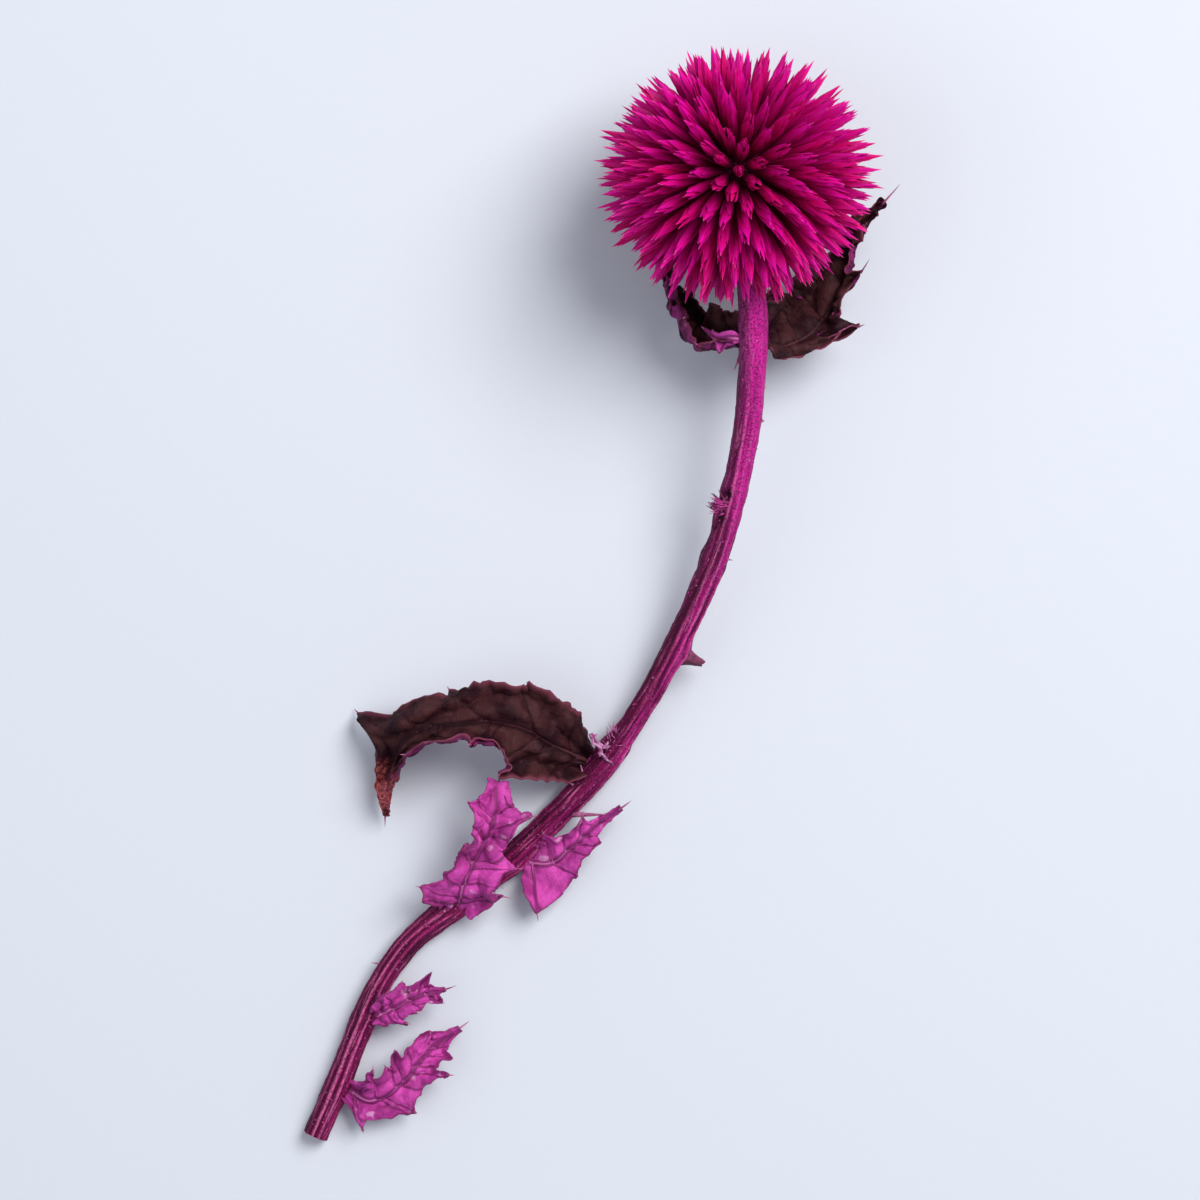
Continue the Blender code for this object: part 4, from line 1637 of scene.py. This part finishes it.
    def make(self, stem: Stem, material: bpy.types.Material) -> bpy.types.Object:
        """The blade as a closed thin solid.

        Args:
            stem: The stem that the leaf grows on.
            material: The finish of the blade.

        Returns:
            The object.
        """
        made = self.blade(stem)
        grid, normals, vein = made["grid"], made["normals"], made["vein"]
        rows, columns = grid.shape[:2]
        rib = vein[..., None] * np.linspace(1.0, 0.35, rows)[:, None, None]
        upper = grid + normals * (self.thickness / 2 + self.rib[0] * MM * rib)
        under = grid - normals * (self.thickness / 2 + self.rib[1] * MM * rib)
        count = rows * columns
        vertices = np.vstack([upper.reshape(-1, 3), under.reshape(-1, 3)])
        top = grid_faces(rows, columns)
        flat = [tuple(reversed(tuple(count + i for i in f))) for f in top]
        border = list(range(columns))
        border += [r * columns + columns - 1 for r in range(1, rows)]
        border += [(rows - 1) * columns + c for c in range(columns - 2, -1, -1)]
        border += [r * columns for r in range(rows - 2, 0, -1)]
        rim = [(b, a, a + count, b + count) for a, b in zip(border, border[1:] + border[:1])]
        leaf = mesh_object(self.name, vertices, top + flat + rim, material)
        face_outwards(leaf)
        add_attribute(leaf.data, "side", np.repeat([0.0, 1.0], count))
        add_attribute(leaf.data, "vein", np.tile(vein.ravel(), 2))
        add_attribute(leaf.data, "edge", np.tile(made["edge"].ravel(), 2))
        withered = self.withered * np.clip((np.linspace(0, 1, rows) - 0.80) / 0.12, 0, 1)
        add_attribute(leaf.data, "tip", np.tile(np.repeat(withered, columns), 2))
        self.tips = self.spine_sprouts(grid)
        return leaf

    def spine_sprouts(self, grid: np.ndarray) -> list[Sprout]:
        """A spine at each lobe's point and at the leaf's tip.

        Args:
            grid: The middle surface of the blade.

        Returns:
            The spines, as sprouts.
        """
        dice = random.Random(self.seed)
        rows, columns = grid.shape[:2]
        sprouts = []
        for side, column, inner in ((0, columns - 1, columns - 7), (1, 0, 6)):
            for lobe in self.lobes[side]:
                row = min(rows - 1, round(lobe.at * (rows - 1)))
                place, root = Vector(grid[row, column]), Vector(grid[max(0, row - 1), inner])
                aim = (place - root).normalized()
                length = self.spine * dice.uniform(0.6, 1.3) * min(1.0, 0.45 + lobe.reach / 4)
                sprouts.append(Sprout(place - aim * 0.7 * MM, aim, length, 0.42 * MM, dice.uniform(0, 6)))
        middle = columns // 2
        tip, before = Vector(grid[-1, middle]), Vector(grid[-8, middle])
        aim = (tip - before).normalized()
        sprouts.append(Sprout(tip - aim * 0.6 * MM, aim, self.spine * 1.5, 0.5 * MM))
        return sprouts


UP: Point = (0, 0, 1)

LEAVES = (
    Leaf(
        "leaf_under_head_right", "upper_leaf_right", Slot.LEAF_DARK, (-29.0, -35),
        (
            (9.0, -29.2, 13.6), (14.2, -26.2, 9.6), (18.4, -20.0, 7.4), (20.8, -13.0, 8.4),
            (22.6, -8.0, 11.2), (26.6, -3.6, 15.0),
        ),
        ((-0.1, 0.35, 0.93), (-0.35, 0.25, 0.9), (-0.75, 0.1, 0.6), (-0.6, -0.2, 0.8)), width=20,
        curl=(0.6, 0.5), crumple=1.5, pleats=0.8,
        lobes=(
            spiny_margin(3, 1.5, 12),
            (
                Lobe(0.24, 1.6, 3.0, 5.5, 2.0), Lobe(0.37, 6.2, 1.7, 3.2, 1.5),
                Lobe(0.60, 2.6, 2.2, 2.5, -1.0), Lobe(0.8, 1.6, 2.0, 2.0),
            ),
        ),
        sides=(1, 0.3), wave=0.22, body=(0.7, 1.0, 1.0, 0.85, 0.6, 0.3, 0.04), spine=3.6 * MM, seed=1,
    ),
    Leaf(
        "leaf_under_head_left", "upper_leaf_left", Slot.LEAF_DARK, (-29.0, 215),
        (
            (-4.6, -28.8, 14.2), (-8.2, -27.0, 11.6), (-10.4, -23.0, 9.4), (-12.2, -18.4, 7.4),
            (-14.4, -13.0, 5.6),
        ),
        ((0.1, 0.35, 0.93), (0.55, 0.2, 0.8), (0.8, 0.0, 0.6), (0.4, 0.0, 0.87)), width=14,
        curl=(1.8, 0.9), crumple=1.5,
        lobes=(
            (Lobe(0.20, 1.2, 1.6, 0.5), Lobe(0.45, 0.9, 1.5, 1.0), Lobe(0.72, 3.6, 2.4, 2.0, -0.8)),
            (Lobe(0.5, 0.8, 2.0), Lobe(0.75, 1.2, 2.0)),
        ),
        sides=(0.7, 1), body=(0.8, 1.0, 1.0, 0.85, 0.7, 0.4, 0.05), seed=2,
    ),
    Leaf(
        "leaf_half_way_dark", "middle_leaf_dark", Slot.LEAF_DARK, (-105.5, 185),
        (
            (-33.0, -101.0, 7.5), (-38.5, -98.0, 11.0), (-44.0, -96.6, 13.0), (-49.5, -97.2, 13.0),
            (-55.0, -97.8, 11.5), (-60.0, -100.5, 9.0), (-62.8, -106.5, 6.0), (-63.2, -114.0, 3.4),
        ),
        ((0.1, -0.1, 1), (0.1, -0.4, 1), (-0.15, 0.0, 1), (-0.3, -0.5, 0.8), (-0.6, 0.1, 0.8)),
        width=16.5, curl=(1.9, -0.9), crumple=1.1, pleats=1.0, withered=1.0, wave=0.04, roll_to_tip=0.5,
        lobes=(
            (
                Lobe(0.25, 2.2, 3.0, 2.5, -1.0), Lobe(0.45, 3.2, 3.2, 2.5, -2.0),
                Lobe(0.66, 1.8, 2.5, 2.0), Lobe(0.85, 2.2, 2.2),
            ),
            (
                Lobe(0.3, 0.5, 3.0), Lobe(0.52, 1.2, 2.6, 1.5), Lobe(0.76, 7.0, 2.3, 1.0, -1.5),
                Lobe(0.9, 1.4, 1.6, 1.0),
            ),
        ),
        body=(0.28, 0.8, 1.0, 0.95, 0.8, 0.6, 0.55, 0.4, 0.05), seed=3,
    ),
    Leaf(
        "leaf_half_way_pink", "middle_leaf_pink", Slot.LEAF_PINK, (-130.5, 60),
        (
            (-48.6, -125.4, 8.4), (-45.8, -119.4, 10.0), (-43.4, -114.2, 10.6), (-43.0, -108.0, 9.0),
        ),
        (UP, (0.25, 0.0, 1), (0.1, -0.3, 1)), width=11, curl=(0.9, 0.6), crumple=1.5, rib=(0.5, 0.2),
        lobes=(
            (Lobe(0.2, 3.0, 3.0, 0.5, 1.0), Lobe(0.5, 3.6, 3.0, 2.0, 1.0), Lobe(0.78, 1.8, 2.4, 1.5)),
            (Lobe(0.22, 2.6, 2.6, 0.0, -1.0), Lobe(0.46, 4.5, 3.4, 1.5, -1.5), Lobe(0.76, 2.0, 2.4, 2.0)),
        ),
        body=(0.6, 1.0, 0.95, 0.62, 0.66, 0.72, 0.25), wave=0.2, puff=0.7, seed=4,
    ),
    Leaf(
        "leaf_half_way_under", "middle_leaf_under", Slot.LEAF_PINK, (-121.0, 5),
        (
            (-33.5, -122.8, 3.6), (-29.5, -119.8, 4.6), (-25.0, -115.8, 5.2), (-20.5, -112.6, 5.6),
        ),
        (UP, (0.2, 0, 1)), width=10, curl=(0.7, 0.5), crumple=0.8, pleats=0.3, rib=(0.24, 0.3),
        lobes=(
            (Lobe(0.35, 2.0, 2.2, 0.8), Lobe(0.65, 1.6, 2.0, 1.5)),
            (Lobe(0.16, 5.5, 4.2, -2.0, 0.5), Lobe(0.6, 1.2, 2.4, 1.8)),
        ),
        body=(0.4, 0.8, 0.9, 0.6, 0.35, 0.2, 0.05), wave=0.18, seed=5,
    ),
    Leaf(
        "leaf_near_cut_small", "lower_leaf_small", Slot.LEAF_PINK, (-150.5, 35),
        (
            (-61.5, -148.8, 5.0), (-57.5, -146.8, 6.0), (-52.5, -145.6, 5.4),
        ),
        (UP, (0, 0.3, 1)), width=6, curl=(0.8, 0.8), crumple=0.9, ribs=4, rib=(0.24, 0.3),
        lobes=(spiny_margin(3, 1.8, 61), spiny_margin(3, 1.8, 62)), seed=6,
    ),
    Leaf(
        "leaf_near_cut_broad", "lower_leaf_broad", Slot.LEAF_PINK, (-163.0, 5),
        (
            (-65.5, -165.8, 3.6), (-60.0, -162.2, 4.6), (-55.5, -156.8, 4.4), (-50.0, -152.8, 2.8),
        ),
        (UP, (0.2, -0.2, 1), UP), width=9, curl=(0.6, 0.9), crumple=1.0, rib=(0.28, 0.3),
        lobes=(spiny_margin(4, 2.6, 71), spiny_margin(4, 2.6, 72)), wave=0.2, seed=7,
    ),
)


# ---------------------------------------------------------------- the studio


@dataclass
class Studio:
    """The pale floor, the soft lights and the camera, which looks straight down."""

    floor_size: float = 6.0
    lens: float = 150.0
    sensor: float = 36.0
    margin: float = 1.08
    world: Colour = (0.86, 0.90, 1.0)
    world_strength: float = 0.44

    def make(self, low: Vector, high: Vector) -> None:
        """Sets everything round the object's box.

        Args:
            low: The box's lowest corner.
            high: Its highest corner.
        """
        self.make_floor()
        self.make_world()
        middle = (low + high) / 2
        self.make_light("key", middle + Vector((0.56, 0.50, 1.0)), middle, 0.75, 17.5, (1.0, 0.985, 0.97))
        self.make_light("fill", middle + Vector((-0.70, -0.15, 0.65)), middle, 0.9, 1.8, (0.92, 0.95, 1.0))
        self.make_camera(low, high)

    def make_floor(self) -> None:
        """The floor, at the height that the object rests on."""
        half = self.floor_size / 2
        corners = [(-half, -half, 0), (half, -half, 0), (half, half, 0), (-half, half, 0)]
        floor = mesh_object("floor", corners, [(0, 1, 2, 3)], FloorFinish().material())
        floor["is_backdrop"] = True

    def make_world(self) -> None:
        """An even pale light from all round."""
        world = bpy.data.worlds.new("studio")
        world.use_nodes = True
        background = world.node_tree.nodes["Background"]
        background.inputs["Color"].default_value = (*self.world, 1.0)
        background.inputs["Strength"].default_value = self.world_strength
        bpy.context.scene.world = world
        bpy.context.scene.view_settings.view_transform = "Standard"

    def make_light(
        self, name: str, place: Vector, target: Vector, size: float, watts: float, colour: Colour
    ) -> None:
        """A square area light turned to the target.

        Args:
            name: The light's name.
            place: Where it stands.
            target: What it points at.
            size: The length of its side.
            watts: Its power.
            colour: Its colour.
        """
        data = bpy.data.lights.new(name, "AREA")
        data.size = size
        data.energy = watts
        data.color = colour
        light = bpy.data.objects.new(name, data)
        light.location = place
        light.rotation_euler = (target - place).to_track_quat("-Z", "Y").to_euler()
        bpy.context.scene.collection.objects.link(light)

    def make_camera(self, low: Vector, high: Vector) -> None:
        """The camera above the middle of the box, with the crown of the head at the top of the frame.

        Args:
            low: The box's lowest corner.
            high: Its highest corner.
        """
        data = bpy.data.cameras.new("camera")
        data.lens = self.lens
        data.sensor_width = self.sensor
        side = max(high.x - low.x, high.y - low.y) * self.margin
        distance = side * self.lens / self.sensor
        camera = bpy.data.objects.new("camera", data)
        camera.location = ((low.x + high.x) / 2, (low.y + high.y) / 2, distance + 0.5 * high.z)
        data.clip_end = 20.0
        bpy.context.scene.collection.objects.link(camera)
        bpy.context.scene.camera = camera


# ---------------------------------------------------------------- what is left on the stem


@dataclass(frozen=True)
class Tuft:
    """Torn fibres or thorns at one place: where on the stem, how many, how long and how they point.

    The aim is out of the stem, along it towards the head, and sideways, as parts of one direction.
    """

    height: float
    turn: float
    count: int
    length: float
    width: float
    aim: Point
    spread: float
    reach: float = 0.6


@dataclass(frozen=True)
class Stub:
    """What is left of a side shoot: its place, its direction, its length and its radii at foot and end."""

    name: str
    height: float
    turn: float
    aim: Point
    length: float
    foot: tuple[float, float]
    end: tuple[float, float]
    hollow: float


@dataclass
class StemScraps:
    """Torn fibres, thorns, stubs and the scraps of old leaves along the stem."""

    fibres: tuple[Tuft, ...] = (
        Tuft(-67.2, 120, 5, 2.2, 0.22, (0.25, 0.9, -0.3), 0.35, 0.8),
        Tuft(-70.2, 95, 7, 1.7, 0.24, (0.35, 0.5, -0.6), 0.4, 1.0),
        Tuft(-100.5, 145, 18, 2.6, 0.30, (0.75, 0.6, 0.1), 0.42, 1.0),
        Tuft(-102.2, 120, 12, 1.9, 0.26, (0.6, 0.3, -0.3), 0.5, 1.2),
        Tuft(-104.5, 95, 7, 1.5, 0.22, (0.4, 0.2, -0.8), 0.4, 1.2),
        Tuft(-126.0, 20, 9, 2.4, 0.26, (0.5, -0.5, 0.4), 0.5, 1.2),
        Tuft(-151.2, 60, 6, 1.4, 0.22, (0.5, 0.3, -0.3), 0.5, 0.8),
    )
    frayed: tuple[Tuft, ...] = (
        Tuft(-57.5, 108, 12, 3.6, 0.36, (0.25, -0.30, 0.9), 0.22, 0.5),
        Tuft(-58.3, 145, 22, 2.6, 0.40, (0.8, -0.10, 0.5), 0.42, 0.9),
        Tuft(-58.6, 172, 22, 1.9, 0.42, (0.9, 0.15, 0.1), 0.45, 0.9),
    )
    dark_ends: tuple[Tuft, ...] = (
        Tuft(-57.6, 160, 7, 2.7, 0.50, (0.8, 0.35, 0.3), 0.35, 0.8),
        Tuft(-58.8, 165, 6, 2.6, 0.48, (0.9, 0.0, 0.2), 0.35, 0.8),
    )
    thorns: tuple[Tuft, ...] = (
        Tuft(-31.0, 200, 1, 4.3, 0.8, (0.35, -0.9, 0.0), 0.05, 0.1),
        Tuft(-36.5, 5, 1, 0.8, 0.9, (1.0, 0.1, 0.0), 0.1, 0.1),
        Tuft(-42.3, 8, 1, 1.0, 1.0, (1.0, -0.1, 0.0), 0.1, 0.1),
        Tuft(-47.2, 6, 1, 0.9, 1.1, (1.0, -0.1, 0.0), 0.1, 0.1),
        Tuft(-67.0, 5, 1, 1.4, 0.5, (1.0, 0.2, 0.0), 0.1, 0.1),
        Tuft(-83.0, 20, 1, 0.9, 0.45, (0.8, 0.6, 0.0), 0.1, 0.1),
        Tuft(-107.4, 150, 1, 3.4, 0.5, (0.7, 0.5, 0.4), 0.15, 0.1),
        Tuft(-109.6, 140, 1, 2.6, 0.5, (0.9, -0.2, 0.2), 0.15, 0.1),
        Tuft(-112.5, 25, 1, 9.5, 1.2, (0.72, 0.62, 0.1), 0.03, 0.1),
        Tuft(-142.0, 165, 1, 1.8, 0.4, (0.9, -0.3, 0.2), 0.15, 0.1),
    )
    stubs: tuple[Stub, ...] = (
        Stub("bud_stub", -84.4, 352, (0.85, 0.15, 0.0), 4.2, (1.2, 2.3), (0.85, 0.7), 1.0),
    )
    pimples: float = 420000.0
    grains: float = 60000.0
    seed: int = 11

    def grow_tufts(self, name: str, tufts: tuple[Tuft, ...], stem: Stem) -> bpy.types.Object:
        """The points that all the fibres or thorns of a list grow on.

        Args:
            name: The object's name.
            tufts: The tufts.
            stem: The stem that they grow on.

        Returns:
            The object.
        """
        dice = random.Random(self.seed)
        sprouts = []
        for tuft in tufts:
            for _ in range(tuft.count):
                height = tuft.height + dice.uniform(-tuft.reach, tuft.reach)
                place, out = stem.beside(height, tuft.turn + dice.uniform(-28, 28) * tuft.reach, -0.25 * MM)
                up = (
                    stem.beside(height + 1, tuft.turn)[0] - stem.beside(height - 1, tuft.turn)[0]
                ).normalized()
                aim = out * tuft.aim[0] + up * tuft.aim[1] + out.cross(up) * tuft.aim[2]
                aim += Vector([dice.uniform(-1, 1) for _ in range(3)]) * tuft.spread
                length = tuft.length * MM * dice.uniform(0.55, 1.15)
                sprouts.append(
                    Sprout(place, aim.normalized(), length, tuft.width * MM, dice.uniform(0, math.tau))
                )
        return sprout_points(name, sprouts)

    def make_stub(self, stub: Stub, stem: Stem, material: bpy.types.Material) -> bpy.types.Object:
        """A stub: a flattened cone with a ragged hollow end.

        Args:
            stub: The stub's sizes.
            stem: The stem that it grows on.
            material: Its finish.

        Returns:
            The object.
        """
        place, out = stem.beside(stub.height, stub.turn, -0.5 * MM)
        up = (
            stem.beside(stub.height + 1, stub.turn)[0] - stem.beside(stub.height - 1, stub.turn)[0]
        ).normalized()
        side = out.cross(up)
        aim = (out * stub.aim[0] + up * stub.aim[1] + side * stub.aim[2]).normalized()
        sides, rings = 20, 14
        # Plain noise in three lanes: noise_vector gives other values each time the script runs.
        lanes = [Vector((shift, 0, 0)) for shift in (0, 31, 67)]
        vertices = [tuple(place - aim * 0.3 * MM)]
        steps = [(k / (rings - 1), 1.0) for k in range(rings)]
        steps += [(1.02, 0.72), (0.92, 0.5), (1 - 0.35 * stub.hollow, 0.25)]
        for share, inset in steps:
            ease = (1 - min(share, 1)) ** 1.7
            wide = (stub.end[0] + (stub.foot[0] - stub.end[0]) * ease) * inset * MM
            tall = (stub.end[1] + (stub.foot[1] - stub.end[1]) * ease) * inset * MM
            middle = place + aim * share * stub.length * MM - up * 0.5 * MM * share**2
            for k in range(sides):
                angle = math.tau * k / sides
                ridge = 1 + 0.10 * math.cos(5 * angle + 2) + 0.07 * math.cos(9 * angle)
                spot = middle + side * wide * math.cos(angle) * ridge + up * tall * math.sin(angle) * ridge
                rough = Vector([noise.noise(spot * 900 + lane) for lane in lanes]) * 0.16 * MM
                ragged = aim * noise.noise(spot * 1300) * 0.7 * MM * (share > 0.95)
                vertices.append(tuple(spot + rough + ragged))
        end = place + aim * stub.length * MM * (1 - 0.45 * stub.hollow) - up * 0.3 * MM
        vertices.append(tuple(end))
        faces = [(0, 1 + (k + 1) % sides, 1 + k) for k in range(sides)]
        faces += grid_faces(len(steps), sides, start=1, closed=True)
        last = len(vertices) - 1
        faces += [(last - sides + k, last - sides + (k + 1) % sides, last) for k in range(sides)]
        thing = mesh_object(stub.name, vertices, faces, material)
        face_outwards(thing)
        return thing

    def scatter_on(
        self, name: str, skin: bpy.types.Object, trees: GrowthTrees, values: dict[str, Any]
    ) -> bpy.types.Object:
        """Grains over the stem's skin, as an object of their own.

        Args:
            name: The object's name.
            skin: The stem's skin.
            trees: The node trees.
            values: The inputs of the tree.

        Returns:
            The object.
        """
        copy = bpy.data.objects.new(name, skin.data.copy())
        bpy.context.scene.collection.objects.link(copy)
        return trees.grow(copy, trees.scatter, values)

    def make(self, stem: Stem, skin: bpy.types.Object, trees: GrowthTrees, finishes: dict[str, Any]) -> None:
        """Makes every scrap, and rides it on the part.

        Args:
            stem: The stem.
            skin: Its skin.
            trees: The node trees.
            finishes: The materials, by name.
        """
        fibre, thorn = make_thorn("fibre", 4, 0.7), make_thorn("straight_thorn", 7, 0.12)
        for name, tufts, shape, finish in (
            ("torn_fibres", self.fibres, fibre, "wool"),
            ("frayed_skin", self.frayed, fibre, "frayed"),
            ("frayed_dark_ends", self.dark_ends, fibre, "stub"),
            ("stem_thorns", self.thorns, thorn, "thorn"),
        ):
            points = self.grow_tufts(name, tufts, stem)
            values = {"Single Shape": shape, "Single Copies": 1, "Seed": 5, "Material": finishes[finish]}
            belongs(trees.grow(points, trees.single, values), Slot.STEM)
        for stub in self.stubs:
            belongs(self.make_stub(stub, stem, finishes["stub"]), Slot.STEM)
        flake = make_flake("grain")
        for name, density, sizes, finish in (
            ("stem_pimples", self.pimples, (0.16, 0.55), "pimple"),
            ("stem_grains", self.grains, (0.16, 0.50), "wool"),
        ):
            values = {
                "Shape": flake,
                "Density": density,
                "Smallest": sizes[0] * MM,
                "Largest": sizes[1] * MM,
                "Seed": 3,
                "Material": finishes[finish],
            }
            belongs(self.scatter_on(name, skin, trees, values), Slot.STEM)
        for shape in (fibre, thorn, flake):
            bpy.data.objects.remove(shape)


SCRAPS = (
    Leaf(
        "sheath_scrap", "", Slot.STEM, (-103.0, 140),
        ((-24.2, -101.8, 6.4), (-25.6, -100.4, 7.6), (-26.2, -99.2, 7.2)),
        ((0.6, -0.3, 0.6), (0.3, -0.3, 1)), width=3.4, curl=(1.5, 1.2), pleats=0.2, ribs=0,
        lobes=(spiny_margin(6, 0.6, 81, 0.4), spiny_margin(6, 0.6, 82, 0.4)),
        body=(1.0, 1.0, 0.9, 0.85, 0.8, 0.6, 0.3), seed=8, crumple=1.0, cells_along=60, cells_across=24,
        spine=0.5 * MM,
    ),
    Leaf(
        "flap_by_left_leaf", "", Slot.LEAF_PINK, (-28.4, 160),
        ((-1.4, -28.2, 20.6), (-3.4, -28.2, 19.0), (-5.6, -26.4, 17.0)),
        ((0, -0.3, 1), (0.2, -0.6, 0.8)), width=2.6, curl=(1.2, -0.6), pleats=0.1, ribs=0,
        lobes=((Lobe(0.5, 1.5, 1.3, -0.6),), (Lobe(0.6, 0.4, 1.0),)),
        body=(0.35, 0.9, 1.0, 0.8, 0.5, 0.25, 0.05), seed=9, crumple=0.4, cells_along=60,
        cells_across=24, spine=1.2 * MM,
    ),
)


# ---------------------------------------------------------------- the thistle


def make_finishes(effects: ShaderEffects) -> dict[str, bpy.types.Material]:
    """All materials of the thistle, by what they are for.

    Args:
        effects: The shared node groups.

    Returns:
        The materials.
    """
    return {
        "floret": FloretFinish().material(effects),
        "stem": StemFinish().material(effects),
        "cut": PaleFinish("cut_pith", (0.62, 0.36, 0.36), (0.30, 0.07, 0.14)).material(effects),
        "thorn": PaleFinish("pale_thorns", (0.50, 0.15, 0.30), (0.26, 0.03, 0.13)).material(effects),
        "wool": PaleFinish("torn_fibres", (0.60, 0.20, 0.44), (0.34, 0.03, 0.20)).material(effects),
        "frayed": PaleFinish("frayed_skin", (0.62, 0.05, 0.35), (0.28, 0.008, 0.13)).material(effects),
        "stub": PaleFinish("dry_stub", (0.24, 0.02, 0.10), (0.07, 0.005, 0.03)).material(effects),
        "pimple": PaleFinish("stem_pimples", (0.52, 0.04, 0.30), (0.20, 0.008, 0.09)).material(effects),
        "scrap": PaleFinish("pale_scrap", (0.60, 0.30, 0.50), (0.36, 0.07, 0.24)).material(effects),
        "dark_leaf": LeafFinish(
            name="dark_leaf", upper=((0.014, 0.001, 0.004), (0.056, 0.015, 0.017)),
            under=((0.24, 0.018, 0.140), (0.075, 0.008, 0.045)), vein=(0.012, 0.001, 0.004),
            rib=(0.13, 0.034, 0.045), shadow=(0.008, 0.001, 0.003), margin=(0.22, 0.045, 0.080),
            tip=((0.17, 0.012, 0.022), (0.60, 0.13, 0.13)), missed=(0.50, 0.22, 0.38),
            pale_spot_amount=0.38, pale_spot_share_above=0.04, sheen=0.01, gloss=0.12,
        ).material(effects),
        "pink_leaf": LeafFinish(
            name="pink_leaf", upper=((0.62, 0.060, 0.40), (0.34, 0.024, 0.21)),
            under=((0.55, 0.050, 0.35), (0.34, 0.024, 0.20)), vein=(0.12, 0.005, 0.070),
            rib=(0.72, 0.18, 0.50), shadow=(0.09, 0.005, 0.05), margin=(0.20, 0.014, 0.10),
            tip=((0.34, 0.020, 0.17), (0.20, 0.010, 0.10)), missed=(0.78, 0.40, 0.66),
            pale_spot_amount=0.362, pale_spot_share_above=0.5, sheen=0.04, gloss=0.26,
        ).material(effects),
    }


def make_leaves(stem: Stem, trees: GrowthTrees, finishes: dict[str, bpy.types.Material]) -> None:
    """Every leaf and scrap of a leaf, with its spines.

    Args:
        stem: The stem.
        trees: The node trees that grow the spines.
        finishes: The materials, by name.
    """
    blades = {Slot.LEAF_DARK: "dark_leaf", Slot.LEAF_PINK: "pink_leaf", Slot.STEM: "scrap"}
    thorn = make_thorn("thorn")
    for leaf in LEAVES + SCRAPS:
        blade = leaf.make(stem, finishes[blades[leaf.slot]])
        belongs(blade, leaf.slot, *([leaf.node] if leaf.node else []))
        points = sprout_points(f"{leaf.name}_spines", leaf.tips)
        values = {"Single Shape": thorn, "Single Copies": 1, "Seed": leaf.seed, "Material": finishes["thorn"]}
        belongs(trees.grow(points, trees.single, values), leaf.slot)
    bpy.data.objects.remove(thorn)


def main() -> None:
    """Builds every piece, and the studio round them."""
    logging.basicConfig(level=logging.INFO, format="%(name)s: %(message)s")
    finishes = make_finishes(ShaderEffects())
    trees = GrowthTrees()
    Head().make(trees, finishes["floret"])
    stem = Stem()
    skin = stem.make(finishes["stem"], finishes["cut"])
    belongs(skin, Slot.STEM, "stem")
    StemScraps().make(stem, skin, trees, finishes)
    make_leaves(stem, trees, finishes)
    low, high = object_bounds()
    Studio().make(low, high)


if __name__ == "__main__":
    main()
